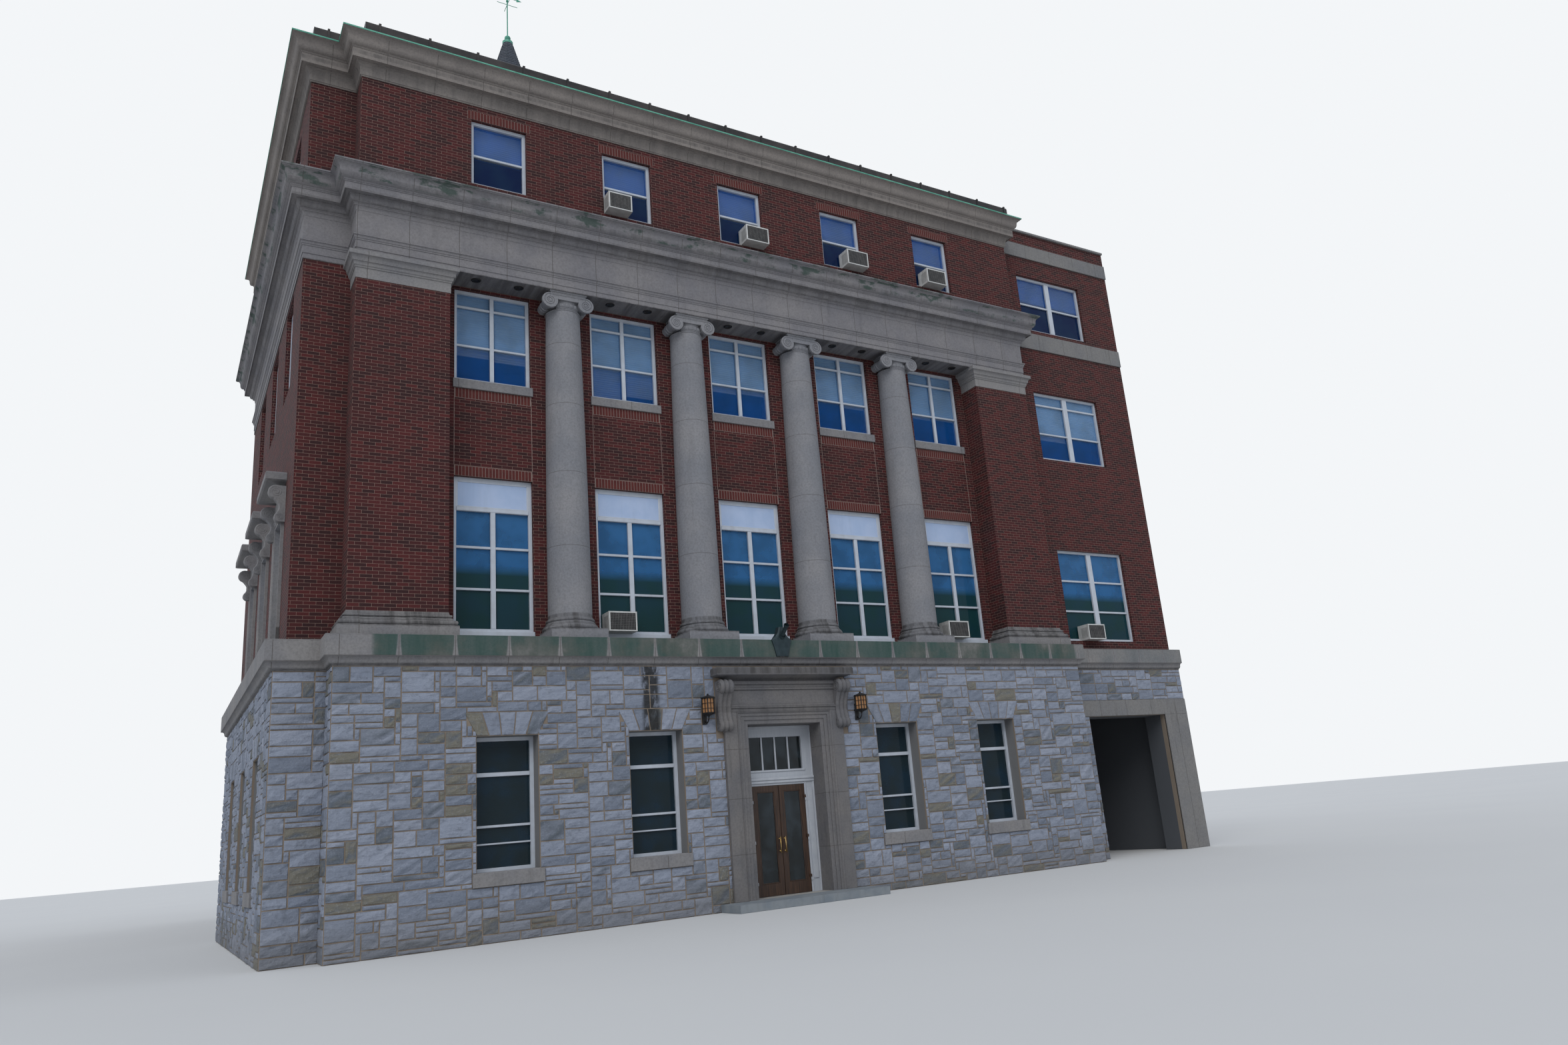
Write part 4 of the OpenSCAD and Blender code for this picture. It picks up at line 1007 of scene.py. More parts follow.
@dataclass
class StoneStorey:
    """All rock faced stones of the ground storey, face by face.

    The doorway's holes leave room for its surround, frieze, consoles and step.
    """

    palette: Palette
    corner: float = 8.977
    side: float = -9.86
    back: float = 5.67
    hall: float = 6.87
    hall_end: float = 22.87
    doorway: tuple[Rectangle, ...] = ((-1.46, 1.46, 0.0, 3.99), (-1.30, 1.30, 3.9, 4.9),
                                      (-1.62, 1.62, 3.4, 4.9), (-1.75, 1.75, 0.0, 0.15))

    @staticmethod
    def windows(centres: Iterable[float]) -> list[Rectangle]:
        """Holes of the ground storey's windows."""
        return [(c - 0.575, c + 0.575, *GROUND_WINDOW) for c in centres]

    def framed(self, centres: Iterable[float]) -> tuple[list, list]:
        """Holes of windows with their sills, and the arches over them."""
        sill, head = GROUND_WINDOW
        sills = [(c - 0.65, c + 0.65, SILL_FOOT, sill) for c in centres]
        return self.windows(centres) + sills, [(c, 1.15, 1.59, head, ARCH_TOP) for c in centres]

    def build(self) -> None:
        """Makes the stones of the front, the wing, the left side, the rear and the hall."""
        holes, arches = self.framed(GROUND_BAYS)
        passage = [(PASSAGE[0], WING_END, 0.0, PASSAGE_HEAD),
                   (9.492, WING_END, PASSAGE_HEAD, 4.06)]
        set_back = WALL_Y - BASE_OUT
        rough = {"cell": 0.12, "rise": 0.13}
        walls = {
            "front_ashlar": (
                Ashlar(WallFace(Facing.FRONT, BASE_Y, -self.corner, self.corner), 11,
                       [*holes, *self.doorway], arches),
                Ashlar(WallFace(Facing.FRONT, set_back, self.side, -self.corner), 12),
                Ashlar(WallFace(Facing.LEFT, -self.corner, BASE_Y, set_back), 13),
                Ashlar(WallFace(Facing.RIGHT, self.corner, BASE_Y, set_back), 14)),
            "wing_ashlar": (
                Ashlar(WallFace(Facing.FRONT, set_back, self.corner, WING_END), 15, passage),
                Ashlar(WallFace(Facing.RIGHT, WING_END, set_back, self.back), 20, relief=0.014,
                       **rough)),
            "left_side_ashlar": (
                Ashlar(WallFace(Facing.LEFT, self.side, set_back, self.back), 16,
                       *self.framed(SIDE_BAYS)),),
            "rear_ashlar": (
                Ashlar(WallFace(Facing.REAR, self.back, self.side, -self.hall), 17, **rough),
                Ashlar(WallFace(Facing.REAR, self.back, self.hall, WING_END), 17,
                       [(*PASSAGE, 0.0, PASSAGE_HEAD)], **rough)),
            "hall_ashlar": (
                *(Ashlar(WallFace(facing, plane, self.back, self.hall_end), 18,
                         self.windows(HALL_BAYS), **rough)
                  for facing, plane in ((Facing.LEFT, -self.hall), (Facing.RIGHT, self.hall))),
                Ashlar(WallFace(Facing.REAR, self.hall_end, -self.hall, self.hall), 19,
                       self.windows(BAYS[1:4]), **rough)),
        }
        for name, parts in walls.items():
            yard = Yard(name, self.palette["rock"], "ashlar")
            for part in parts:
                part.build(yard)
            yard.build()


# Windows and panels


@dataclass(frozen=True)
class Sash:
    """The bars of one kind of window.

    Heights are the sill's and the head's; rails are heights and widths, the upright a width.
    """

    width: float
    heights: tuple[float, float]
    rails: tuple[tuple[float, float], ...]
    upright: float = 0.0
    depth: float = FRAME_IN
    frame: float = 0.07
    thick: float = 0.045

    def bars(self, yard: Yard, centre: float, face: WallFace) -> None:
        """Adds the bars of one window, standing in its frame's depth."""
        sill, head = self.heights
        half = self.width / 2 - self.frame
        for z, w in self.rails:
            yard.boxes(centre - half, centre + half, self.depth + 0.006, self.depth + self.thick,
                       z - w / 2, z + w / 2, 0.006, face)
        if self.upright:
            w = self.upright / 2
            yard.boxes(centre - w, centre + w, self.depth - 0.004, self.depth + self.thick + 0.004,
                       sill + self.frame, head - self.frame, 0.006, face)


@dataclass
class Joinery:
    """White bars, mullions and meeting rails of every sash, one mesh per storey."""

    palette: Palette

    def build(self) -> None:
        """Makes the bars of all windows."""
        first = ((7.44, 0.05), (6.58, 0.05))
        second = ((12.71, 0.05), (11.82, 0.045))
        ground = ((2.92, 0.075), (1.99, 0.045))
        attic = Sash(1.2, ATTIC_WINDOW, ((16.05, 0.05),))
        sides = (Sash(1.2, (5.71, 8.90), ((8.235, 0.07), *first), 0.08),
                 Sash(1.2, SECOND_WINDOW, second, 0.07), attic,
                 Sash(1.15, GROUND_WINDOW, ground, 0.0, BASE_FRAME_IN - BASE_OUT))
        order = (Sash(1.6, FIRST_WINDOW, first, 0.10), Sash(1.6, SECOND_WINDOW, second, 0.085))
        wing = (Sash(2.56, (5.73, 8.31), first, 0.17), Sash(2.56, SECOND_WINDOW, second, 0.17),
                Sash(2.56, (15.08, 16.88), ((15.97, 0.05),), 0.17))
        base = Sash(1.15, GROUND_WINDOW, (*ground, (1.68, 0.03)), 0.0, BASE_FRAME_IN)
        front = WallFace(Facing.FRONT, WALL_Y)
        pieces = {
            "side_window_bars": ((WallFace(Facing.LEFT, SIDE_X), SIDE_BAYS, sides),
                                 (WallFace(Facing.LEFT, -HALL_X), HALL_BAYS, sides),
                                 (WallFace(Facing.RIGHT, HALL_X), HALL_BAYS, sides),
                                 (WallFace(Facing.REAR, REAR_Y), BAYS[1:4], sides)),
            "order_window_bars": ((front, BAYS, order), (front, (WING_MIDDLE,), wing)),
            "attic_window_bars": ((WallFace(Facing.FRONT, PIER_Y), BAYS, (attic,)),),
            "ground_window_bars": ((WallFace(Facing.FRONT, BASE_Y), GROUND_BAYS, (base,)),),
        }
        for name, rows in pieces.items():
            yard = Yard(name, self.palette["white"], "white_timber")
            for face, centres, kinds in rows:
                for centre in centres:
                    for kind in kinds:
                        kind.bars(yard, centre, face)
            yard.build()


@dataclass
class Blinds:
    """Slatted blinds behind the panes, each drawn down by its own amount.

    A blind is a sheet whose depth swings with the slats: a sine of one slat's pitch.
    """

    palette: Palette
    pitch: float = 0.05
    swing: float = 0.012
    drops: tuple[tuple[float, float], ...] = ((0.72, 0.74), (1.0, 0.93), (0.70, 0.68),
                                              (0.62, 0.66), (0.66, 0.64))
    ground_feet: tuple[float, ...] = (2.2, 2.9, 2.1, 1.9)

    def sheet(self, yard: Yard, left: float, width: float, head: float, foot: float,
              y: float) -> None:
        """One blind from its head down to its foot."""
        slats = max(2, int((head - foot) / self.pitch))
        step = np.linspace(0, slats, slats * 4 + 1)[::-1]
        x = np.array([[left], [left + width]])
        yard.sheet(xyz(x, y + self.swing * np.sin(step * 2 * np.pi),
                       head - (head - foot) * step / slats))

    def build(self) -> None:
        """Makes the blinds of the second storey, the attic, the wing and the ground storey."""
        yard = Yard("front_blinds", self.palette["blind"], "white_timber")
        y = WALL_Y + FRAME_IN + 0.10
        for c, drop in zip(BAYS, self.drops):
            for left, share in zip((c - 0.73, c + 0.045), drop):
                self.sheet(yard, left, 0.685, 13.02, 13.02 - 1.95 * share, y)
            self.sheet(yard, c - 0.54, 1.08, 16.82, 15.9 - 0.2 * drop[0], PIER_Y + 0.25)
        for left, foot in ((WING_MIDDLE - 1.21, 11.65), (WING_MIDDLE + 0.085, 11.85)):
            self.sheet(yard, left, 1.12, 13.02, foot, y)
            self.sheet(yard, left, 1.12, 16.82, 15.7, y)
            self.sheet(yard, left, 1.12, 8.25, 7.5, y)
        for c, foot in zip(GROUND_BAYS, self.ground_feet):
            self.sheet(yard, c - 0.5, 1.0, 3.53, foot, BASE_Y + BASE_FRAME_IN + 0.16)
        yard.build()


@dataclass
class Panels:
    """Pale blue grey panels over the first storey windows, each in a moulded white frame."""

    palette: Palette

    def build(self) -> None:
        """Makes all five panels, their frames, and the rails and sills under them."""
        plates = Yard("spandrel_panels", self.palette["panel"], "white_timber")
        frames = Yard("spandrel_frames", self.palette["white"], "white_timber")
        y = WALL_Y + FRAME_IN
        for c in BAYS:
            plates.boxes(c - 0.735, c + 0.735, y + 0.016, y + 0.04, 8.26, 8.835, 0.002)
            for left, right, low, high in ((-0.735, -0.70, 8.27, 8.835), (0.70, 0.735, 8.27, 8.835),
                                           (-0.70, 0.70, 8.80, 8.835), (-0.70, 0.70, 8.27, 8.30)):
                frames.boxes(c + left, c + right, y + 0.004, y + 0.03, low, high, 0.006)
            frames.boxes(c - 0.80, c + 0.80, WALL_Y - 0.025, WALL_Y + 0.10, 5.60, 5.714, 0.008)
            frames.boxes(c - 0.735, c + 0.735, y - 0.012, y + 0.05, 8.19, 8.27, 0.008)
        plates.build()
        frames.build()


# Brick rows, soffit lights and slates


@dataclass
class SoldierCourses:
    """Upright bricks over and under the windows, and the straight joints between them."""

    palette: Palette
    pitch: float = BRICK_COURSE
    joint: float = 0.010
    length: float = 0.203

    def build(self) -> None:
        """Makes the rows, the mortar behind them and the straight joints of all five bays."""
        bricks = Yard("soldier_courses", self.palette["soldier"], "brick")
        joints = Yard("straight_joints", self.palette["joint"], "brick")
        rows = ((1.59, 8.905, WALL_Y, 0.80, 8.90, 9.118), (1.59, 10.60, WALL_Y, 0.80, 10.59, 10.806),
                (1.34, 16.885, PIER_Y, 0.68, 16.881, 17.092))
        for c in BAYS:
            for width, foot, y, half, low, high in rows:
                count = round(width / self.pitch)
                x = c + (np.arange(count) - (count - 1) / 2) * self.pitch
                side = (self.pitch - self.joint) / 2
                bricks.boxes(x - side, x + side, y - 0.004, y + 0.02, foot, foot + self.length,
                             0.003)
                joints.boxes(c - half, c + half, y - 0.001, y + 0.01, low, high)
            x = c + np.array([-0.80, 0.80])
            joints.boxes(x - 0.006, x + 0.006, WALL_Y - 0.0015, WALL_Y + 0.01, 9.12, 10.6)
        bricks.build()
        joints.build()


@dataclass
class SoffitLights:
    """Round lights let into the soffit behind the columns: a ring and a dark cone."""

    palette: Palette
    z: float = 13.13
    y: float = PIER_Y + 0.22

    def build(self) -> None:
        """Makes two lights a bay."""
        rim = Yard("soffit_light_rims", self.palette["iron"], "dark_metal", smooth=True)
        for c in BAYS:
            for x in (c - 0.45, c + 0.45):
                rim.turned([(0.0, -0.002), (0.062, -0.002), (0.075, -0.012), (0.092, -0.014),
                            (0.102, -0.008), (0.104, 0.0)], (x, self.y, self.z), 20)
        rim.build()


@dataclass
class SpireSlates:
    """Courses of slates on the spire: an eight sided shell that steps out at each course."""

    palette: Palette
    middle: float = 14.05
    foot: float = 29.85
    top: float = 35.83
    wide: float = 3.6
    narrow: float = 0.407
    course: float = SLATE_COURSE

    def build(self) -> None:
        """Makes the stepped shell over the CAD cone."""
        rows = int((self.top - self.foot) / self.course)
        edge = self.foot + np.arange(rows + 1) * self.course
        z = np.stack([edge[:-1], edge[1:]], 1).ravel()
        z[-1] = self.top
        share = (z - self.foot) / (self.top - self.foot)
        half = (self.wide + (self.narrow - self.wide) * share) / 2 + np.tile([0.014, 0.004], rows)
        angle = np.radians(22.5 + 45 * np.arange(8))[:, None]
        radius = half / math.cos(math.radians(22.5))
        yard = Yard("slate_courses", self.palette["slates"], "slate")
        yard.sheet(xyz(np.cos(angle) * radius, self.middle + np.sin(angle) * radius, z), wrap=True)
        yard.build()


# Dressed stone, entrance and fittings


@dataclass
class Mason:
    """Cuts dressed stone round openings: blocks, architraves, hoods and scroll consoles.

    Shapes are made for a wall that looks to -Y and are laid on the wall face. The two columns
    of numbers lead a profile up one side, over the opening and down the other side.
    """

    yard: Yard
    face: WallFace
    sides = np.array([[-1.0], [-1.0], [1.0], [1.0]])
    middle = np.array([[0.0], [1.0], [1.0], [0.0]])

    def block(self, left: float, right: float, low: float, high: float, out: float,
              back: float = 0.0, chamfer: float = 0.006) -> None:
        """A squared stone that stands out of the wall."""
        self.yard.boxes(left, right, -out, -back, low, high, chamfer, self.face)

    def architrave(self, centre: float, half: float, foot: float, head: float,
                   profile: Pairs) -> None:
        """A moulded frame up, over and down an opening, mitred at its corners.

        Args:
            centre: Middle of the opening along the wall.
            half: Half of its width.
            foot: Where the frame stands.
            head: Top of the opening.
            profile: Offsets from the opening's edge and distances out.
        """
        off, out = np.asarray(profile, float).T
        up = foot + self.middle * (head + off - foot)
        self.yard.sheet(xyz(centre + self.sides * (half + off), -out, up), face=self.face)

    def hood(self, centre: float, half: float, low: float, high: float, out: float) -> None:
        """A cornice with returned ends: bed, cove, corona and fillet."""
        tall = high - low
        turn = np.linspace(0, math.pi / 2, 7)
        cove = np.stack([0.02 + (out - 0.054) * (1 - np.cos(turn)),
                         low + tall * (0.10 + 0.26 * np.sin(turn))], -1)
        o, z = np.concatenate([[(0.0, low), (0.02, low)], cove,
                               [(out, low + tall * 0.42), (out, high - 0.03),
                                (out - 0.022, high), (0.0, high + 0.012)]]).T
        self.yard.sheet(xyz(centre + self.sides * (half - out + o), -o * self.middle, z),
                        face=self.face)

    def console(self, centre: float, width: float, low: float, high: float, out: float) -> None:
        """A scroll console: a large roll above, a small one below and reeds down its front."""
        big, small = 0.42 * out, 0.30 * out
        below = np.radians(np.linspace(-90, 55, 12))
        above = np.radians(np.linspace(-75, 90, 16))
        foot = np.stack([small * (1 + np.cos(below)), low + small * (1 + np.sin(below))], -1)
        head = np.stack([out - big + big * np.cos(above), high - big + big * np.sin(above)], -1)
        share = np.linspace(0, 1, 14)[1:-1, None]
        neck = foot[-1] + (head[0] - foot[-1]) * share
        neck[:, 0] -= 0.24 * out * np.sin(math.pi * share[:, 0])
        line = np.concatenate([[(0.0, low)], foot, neck, head, [(0.0, high)]])
        run = np.gradient(line, axis=0)
        run /= np.linalg.norm(run, axis=1, keepdims=True)
        across = np.linspace(-0.5, 0.5, 31)[:, None]
        reeds = 0.10 * width * np.abs(np.cos(across * 3 * math.pi)) * np.ones(len(line))
        reeds[:, [0, -1]] = 0.0
        o, z = line.T
        self.yard.sheet(xyz(centre + width * across, -o - reeds * run[:, 1],
                            z - reeds * run[:, 0]), face=self.face)
        rolls = ((out - big, high - big, big * 0.88), (small, low + small, small * 0.8))
        turn = np.linspace(0.5, 4.6 * math.pi, 60)
        for side in (-1, 1):
            x = centre + side * width / 2
            self.yard.sheet(xyz(x, -o * np.array([[1.0], [0.0]])[::side], z), face=self.face)
            for o_c, z_c, radius in rolls:
                reach = radius * (1 - 0.17 * turn / math.pi)
                spiral = xyz(x, -(o_c + reach * np.cos(turn)), z_c + reach * np.sin(turn))
                self.yard.tube(spiral, 0.035 * width, (1, 0, 0), self.face)
        if self.face.facing is Facing.FRONT:
            self.yard.turned([(0.0, -0.085), (0.022, -0.06), (0.038, -0.02), (0.034, 0.0),
                              (0.0, 0.0)], (centre, self.face.plane - 0.03, low), 12)


@dataclass
class StoneTrim:
    """Dressed stone that the CAD leaves to the look: sills, passage frame, side surrounds."""

    palette: Palette

    def build(self) -> None:
        """Makes the sills, the frame of the passage and the left side's hooded surrounds."""
        sills = Yard("ground_window_sills", self.palette["trim"], "limestone")
        for face, centres in ((WallFace(Facing.FRONT, BASE_Y), GROUND_BAYS),
                              (WallFace(Facing.LEFT, SIDE_X - BASE_OUT), SIDE_BAYS)):
            mason = Mason(sills, face)
            for c in centres:
                mason.block(c - 0.65, c + 0.65, SILL_FOOT, GROUND_WINDOW[0], 0.055)
                mason.block(c - 0.574, c + 0.574, 1.10, 1.196, 0.02, -0.31)
        sills.build()

        frame = Yard("passage_frame", self.palette["wing_band"], "limestone")
        mason = Mason(frame, WallFace(Facing.FRONT, WALL_Y - BASE_OUT))
        mason.block(9.492, WING_END, PASSAGE_HEAD, 4.06, 0.03, -0.02)
        mason.block(PASSAGE[1], WING_END, 0.0, PASSAGE_HEAD, 0.03, -0.02)
        frame.build()

        sides = Yard("side_window_surrounds", self.palette["trim"], "limestone")
        mason = Mason(sides, WallFace(Facing.LEFT, SIDE_X))
        for c in SIDE_BAYS:
            mason.architrave(c, 0.60, *FIRST_WINDOW, [
                (-0.003, -0.09), (-0.003, 0.035), (0.055, 0.035), (0.06, 0.048), (0.12, 0.048),
                (0.13, 0.06), (0.17, 0.06), (0.17, 0.0)])
            mason.block(c - 0.82, c + 0.82, BELT_TOP, FIRST_WINDOW[0], 0.09)
            mason.block(c - 0.70, c + 0.70, 8.44, 8.78, 0.05)
            mason.hood(c, 0.89, 8.78, 9.05, 0.38)
            for x in (c - 0.77, c + 0.77):
                mason.console(x, 0.15, 8.05, 8.78, 0.30)
        sides.build()
        self.flag_holder()

    def flag_holder(self) -> None:
        """Makes the cast shield on the belt over the doorway and its empty socket for a pole."""
        front = PIER_Y - 0.374
        holder = Yard("flag_holder", self.palette["shield"], "dark_metal")
        z = np.array([5.080, 5.082, 5.16, 5.30, 5.42, 5.45, 5.50, 5.58, 5.72, 5.722])
        half = np.array([0.01, 0.15, 0.165, 0.20, 0.24, 0.24, 0.16, 0.10, 0.055, 0.01])
        back = np.where(z < 5.455, front + 0.004, front + 0.10)
        ring = [(half, back), (half, front - 0.03), (half * 0.6, front - 0.055)]
        ring = [(-x, y) for x, y in ring] + ring[::-1]
        holder.sheet(np.stack([xyz(x, y, z) for x, y in ring]), wrap=True)
        tilt = math.radians(41.7)
        aim = np.array([0.0, -math.cos(tilt), math.sin(tilt)])
        start = np.array([0.0, front - 0.04, 5.50])
        for low, high, radius in ((0.0, 0.34, 0.045), (0.30, 0.34, 0.058), (0.0, 0.05, 0.07)):
            holder.tube(start + aim * np.linspace(low, high, 4)[:, None], radius, (1, 0, 0),
                        around=16)
        holder.build()


@dataclass
class Entrance:
    """Moulded doorway with its hood and scroll consoles, casings, transom bars and pulls.

    y is the outer face of the casings and the leaves.
    """

    palette: Palette
    y: float = PIER_Y + 0.23

    def stone(self) -> None:
        """The surround that stands for the plain one of the CAD."""
        yard = Yard("door_surround_stone", self.palette["door_stone"], "limestone")
        mason = Mason(yard, WallFace(Facing.FRONT, BASE_Y))
        mason.architrave(0.0, 0.90, 0.15, 3.66, [
            (-0.004, -0.45), (-0.004, 0.026), (0.004, 0.03), (0.085, 0.03), (0.085, 0.048),
            (0.17, 0.048), (0.17, 0.066), (0.225, 0.066), (0.235, 0.085), (0.262, 0.098),
            (0.262, 0.0)])
        for side in (-1, 1):
            mason.block(side * 1.15, side * 1.46, 0.15, 3.915, 0.08)
            mason.console(side * 1.45, 0.31, 3.55, 4.56, 0.31)
        mason.block(-1.46, 1.46, 3.915, 3.99, 0.08)
        for low, high, out in ((3.99, 4.02, 0.10), (4.02, 4.07, 0.075), (4.07, 4.38, 0.05),
                               (4.38, 4.42, 0.085), (4.42, 4.49, 0.07), (4.49, 4.56, 0.11)):
            mason.block(-1.295, 1.295, low, high, out, 0.0, 0.004)
        mason.hood(0.0, 1.69, 4.56, 4.83, 0.33)
        yard.build(["door_surround"])

    def casings(self) -> None:
        """Raised panels on the white casings, the transom's moulding and its bars."""
        # The casing finish carries painted shade of the doorway: a darker copy of the white paint.
        yard = Yard("portal_mouldings", self.palette["casing"], "white_timber")
        side = np.array([-1, 1])
        for a, b, low, high in ((0.665, 0.69, 0.15, 2.43), (0.865, 0.899, 0.15, 3.655),
                                (0.72, 0.84, 0.42, 2.30)):
            yard.boxes(side * a, side * b, self.y - 0.018, self.y + 0.01, low, high, 0.006)
        for half, low, high, out, chamfer in ((0.899, 2.44, 2.50, 0.03, 0.01),
                                              (0.899, 2.50, 2.56, 0.045, 0.012),
                                              (0.70, 2.68, 2.722, 0.02, 0.006),
                                              (0.899, 3.60, 3.655, 0.03, 0.008)):
            yard.boxes(-half, half, self.y - out, self.y + 0.01, low, high, chamfer)
        x = np.array([-0.325, 0.0, 0.325])
        yard.boxes(x - 0.018, x + 0.018, self.y + 0.02, self.y + 0.07, 2.715, 3.425, 0.006)
        yard.build()

    def leaf(self, side: int, word: str) -> None:
        """Beads round the glass and the pull of one leaf."""
        body = word + "_door_leaf"
        beads = Yard(word + "_leaf_beads", self.palette["wood"], "door_wood", body)
        x = side * 0.325
        beads.border((x - 0.209, x + 0.209, 0.40, 2.27), (x - 0.189, x + 0.189, 0.42, 2.25),
                     self.y + 0.002, self.y + 0.018, 0.006)
        beads.build()
        metal = Yard(word + "_door_pull", self.palette["brass"], "dark_metal", body, smooth=True)
        x, y = side * 0.062, self.y - 0.05
        metal.turned([(0.0, 0.0), (0.012, 0.0), (0.012, 0.33), (0.0, 0.33)], (x, y, 1.0), 12)
        for z in (1.04, 1.29):
            metal.turned([(0.0, 0.0), (0.009, 0.0), (0.009, 0.045), (0.018, 0.047), (0.018, 0.05),
                          (0.0, 0.05)], (x, y, z), 10, "y")
        metal.build()

    def build(self) -> None:
        """Makes the stone, the casings and both leaves' trim."""
        self.stone()
        self.casings()
        self.leaf(-1, "left")
        self.leaf(1, "right")


@dataclass
class Lanterns:
    """Six sided wall lanterns of black metal with amber glass, on arms beside the doorway."""

    palette: Palette
    radius: float = 0.15
    foot: float = 3.88
    out: float = 0.23

    def build(self) -> None:
        """Makes both lanterns: cages, glass, caps, finials and scrolled arms."""
        cage = Yard("wall_lanterns", self.palette["iron"], "dark_metal")
        glass = Yard("lantern_glass", self.palette["amber"], "glass")
        r, y, z = self.radius, BASE_Y - self.out, self.foot
        corners = np.radians(60 * np.arange(7))
        turn = np.linspace(0, 1, 24)
        for x in (-1.885, 1.885):
            cage.turned([(0.0, -0.09), (0.016, -0.08), (0.022, -0.05), (0.05, -0.035), (r, 0.0),
                         (r + 0.006, 0.012), (r - 0.01, 0.02), (0.0, 0.02)], (x, y, z), 6)
            cage.turned([(0.0, 0.30), (r, 0.30), (r + 0.015, 0.312), (r + 0.015, 0.33),
                         (r * 0.62, 0.35), (0.055, 0.365), (0.022, 0.375), (0.026, 0.395),
                         (0.0, 0.41)], (x, y, z), 6)
            for thick, inset, shift in ((0.013, 0.010, 0.0), (0.008, 0.028, math.pi / 6)):
                for a in corners[:6] + shift:
                    cage.turned([(0.0, 0.0), (thick, 0.0), (thick, 0.31), (0.0, 0.31)],
                                (x + (r - inset) * math.cos(a), y + (r - inset) * math.sin(a), z),
                                6)
            for height in (0.10, 0.205):
                ring = xyz(x + (r - 0.012) * np.cos(corners), y + (r - 0.012) * np.sin(corners),
                           z + height)
                cage.tube(ring, 0.005, (0, 0, 1))
            glass.turned([(0.0, 0.012), (r - 0.024, 0.014), (r - 0.024, 0.306), (0.0, 0.308)],
                         (x, y, z), 6)
            arm = xyz(x, BASE_Y - self.out * turn,
                      z - 0.05 - 0.11 * np.sin(math.pi * turn * 0.97) - 0.04 * turn)
            cage.tube(arm, 0.012, (1, 0, 0), around=8)
            cage.boxes(x - 0.045, x + 0.045, BASE_Y - 0.05, BASE_Y + 0.01, z - 0.20, z + 0.16,
                       0.008)
        cage.build()
        glass.build()


@dataclass
class Coolers:
    """Window air conditioners: white casings with a border round a dark grid of fins.

    A place is the middle along the wall, the width, the wall's y and the sill's height.
    """

    palette: Palette
    tall: float = 0.42
    deep: float = 0.30
    border: float = 0.032
    places: tuple[tuple[float, float, float, float], ...] = (
        (BAYS[1] - 0.305, 0.56, PIER_Y, ATTIC_WINDOW[0]),
        (BAYS[2] + 0.28, 0.62, PIER_Y, ATTIC_WINDOW[0]),
        (BAYS[3] + 0.27, 0.64, PIER_Y, ATTIC_WINDOW[0]),
        (BAYS[4] - 0.12, 0.64, PIER_Y, ATTIC_WINDOW[0]),
        (BAYS[1] - 0.39, 0.62, WALL_Y, FIRST_WINDOW[0]),
        (BAYS[4] - 0.33, 0.64, WALL_Y, FIRST_WINDOW[0]), (10.457, 0.64, WALL_Y, 5.73))

    def build(self) -> None:
        """Makes all coolers in three meshes: casings, black sheets of painted shade behind the fins,
        and fins.
        """
        casing = Yard("cooler_casings", self.palette["enamel"], "white_timber")
        shade_sheet = Yard("cooler_shade_sheets", self.palette["iron"], "dark_metal")
        fins = Yard("cooler_fins", self.palette["grille"], "dark_metal")
        b = self.border
        for centre, width, wall, sill in self.places:
            left, right = centre - width / 2, centre + width / 2
            top, y = sill + self.tall, wall - self.deep
            inner = (left + b, right - b, sill + b, top - b)
            casing.boxes(left, right, y + 0.014, wall + 0.10, sill + 0.004, top, 0.004)
            casing.border((left, right, sill + 0.004, top), inner, y, y + 0.02, 0.003)
            # A black sheet of painted shade behind the fins.
            shade_sheet.boxes(*inner[:2], y + 0.008, y + 0.016, *inner[2:])
            x = np.linspace(*inner[:2], 17)[1:-1]
            fins.boxes(x - 0.004, x + 0.004, y + 0.002, y + 0.010, *inner[2:])
            z = np.linspace(*inner[2:], 11)[1:-1]
            fins.boxes(*inner[:2], y + 0.003, y + 0.010, z - 0.003, z + 0.003)
            ribs = np.linspace(y + 0.06, wall - 0.04, 9)
            for x in (left - 0.0015, right - 0.0045):
                fins.boxes(x, x + 0.006, ribs, ribs + 0.008, sill + 0.06, top - 0.08)
        casing.build()
        shade_sheet.build()
        fins.build()


# Camera, light and floor


@dataclass(frozen=True)
class Standpoint:
    """The photograph's camera: place, bearing, and lens with its small shift."""

    place: tuple[float, float, float] = (-11.695, -25.820, 1.585)
    yaw: float = 32.59
    pitch: float = 15.23
    roll: float = -0.0879
    lens: float = 24.586
    shift: tuple[float, float] = (-0.01874, 0.0039)

    def build(self) -> None:
        """Makes the camera, whose axes are right, up and backwards."""
        a, b = math.radians(self.yaw), math.radians(self.pitch)
        ahead = np.array([math.sin(a) * math.cos(b), math.cos(a) * math.cos(b), math.sin(b)])
        level = np.array([math.cos(a), -math.sin(a), 0.0])
        above = np.cross(level, ahead)
        right = level * math.cos(self.roll) + above * math.sin(self.roll)
        up = above * math.cos(self.roll) - level * math.sin(self.roll)
        camera = bpy.data.cameras.new("camera")
        camera.sensor_width = 36.0
        camera.lens = self.lens
        camera.shift_x, camera.shift_y = self.shift
        camera.clip_end = 400.0
        matrix = np.eye(4)
        matrix[:3] = np.stack([right, up, -ahead, self.place], 1)
        holder = bpy.data.objects.new("camera", camera)
        holder.matrix_world = Matrix(matrix.tolist())
        bpy.context.scene.collection.objects.link(holder)
        bpy.context.scene.camera = holder


@dataclass(frozen=True)
class Floor(Finish):
    """The pale floor."""

    def paint(self, s: NodeSheet) -> Inputs:
        """The floor's inputs."""
        return dict(Base_Color=s.mix(s.noise(0.15), (0.60, 0.60, 0.60), (0.64, 0.64, 0.63)),
                    Roughness=0.9)


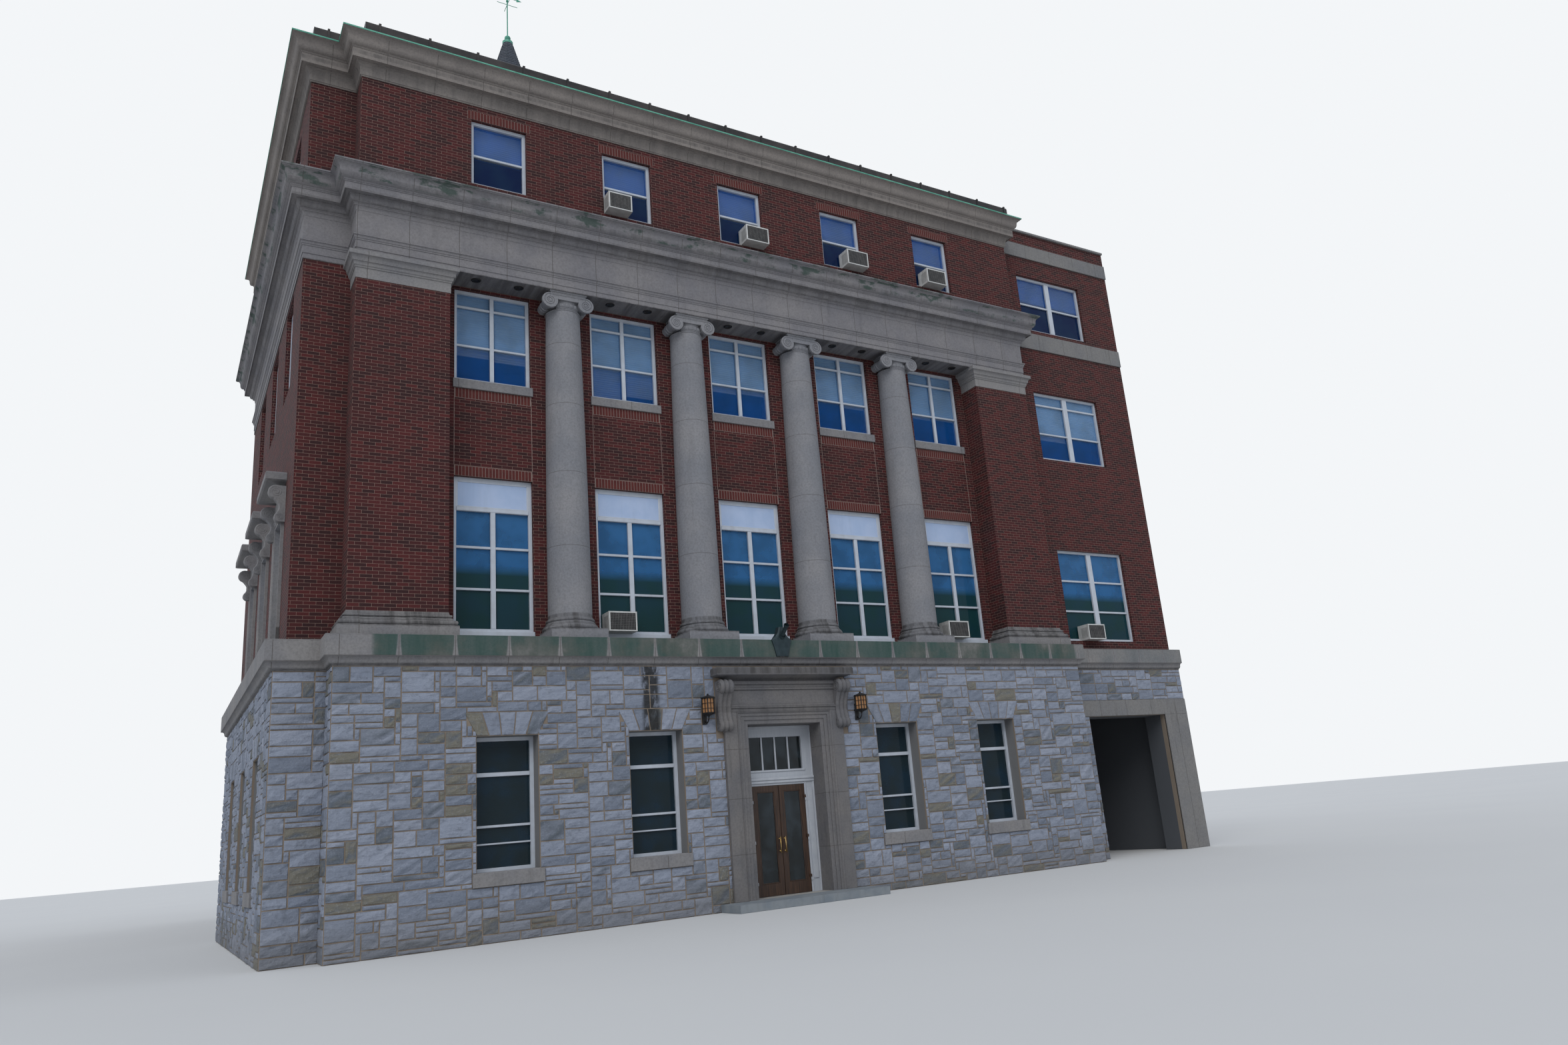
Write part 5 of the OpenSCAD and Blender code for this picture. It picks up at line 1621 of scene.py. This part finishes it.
@dataclass(frozen=True)
class Daylight:
    """Soft light from the sky and one wide lamp from the front left, over a pale floor."""

    sky: Colour = (0.80, 0.86, 0.95)
    strength: float = 0.75
    backdrop: Colour = (0.90, 0.92, 0.94)
    lamp: float = 1.15
    spread: float = 40.0
    floor_half: float = 300.0
    floor_z: float = -0.004

    def build(self) -> None:
        """Makes the world, whose backdrop only the camera sees, the lamp and the floor."""
        scene = bpy.context.scene
        scene.world = bpy.data.worlds.new("daylight")
        s = NodeSheet(scene.world)
        rays = s.node("ShaderNodeLightPath", out="Is Camera Ray")
        light = s.node("ShaderNodeBackground", None,
                       {"Color": self.sky, "Strength": self.strength})
        seen = s.node("ShaderNodeBackground", None, {"Color": self.backdrop})
        mixed = s.node("ShaderNodeMixShader", None,
                       {0: rays.either(rays.other("Is Transmission Ray")), 1: light, 2: seen})
        s.node("ShaderNodeOutputWorld", None, {"Surface": mixed})
        lamp = bpy.data.lights.new("sky_lamp", "SUN")
        lamp.energy = self.lamp
        lamp.angle = math.radians(self.spread)
        holder = bpy.data.objects.new("sky_lamp", lamp)
        holder.rotation_euler = (math.radians(48), 0, math.radians(-38))
        scene.collection.objects.link(holder)
        mesh = bpy.data.meshes.new("floor")
        corners = [(x * self.floor_half, y * self.floor_half, self.floor_z)
                   for x, y in ((-1, -1), (1, -1), (1, 1), (-1, 1))]
        mesh.from_pydata(corners, [], [(0, 1, 2, 3)])
        mesh.materials.append(Floor("pale_floor").make())
        floor = bpy.data.objects.new("floor", mesh)
        scene.collection.objects.link(floor)
        scene.view_settings.view_transform = "Standard"


def main() -> None:
    """Builds all looks in order."""
    logging.basicConfig(level=logging.INFO, format="%(name)s %(message)s")
    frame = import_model()
    Standpoint().build()
    Daylight().build()
    palette = Palette()
    palette.dress(frame["nodes"])
    for maker in (StoneStorey, Joinery, Blinds, SoldierCourses, SoffitLights, SpireSlates,
                  StoneTrim, Panels, Entrance, Lanterns, Coolers):
        maker(palette).build()


if __name__ == "__main__":
    main()
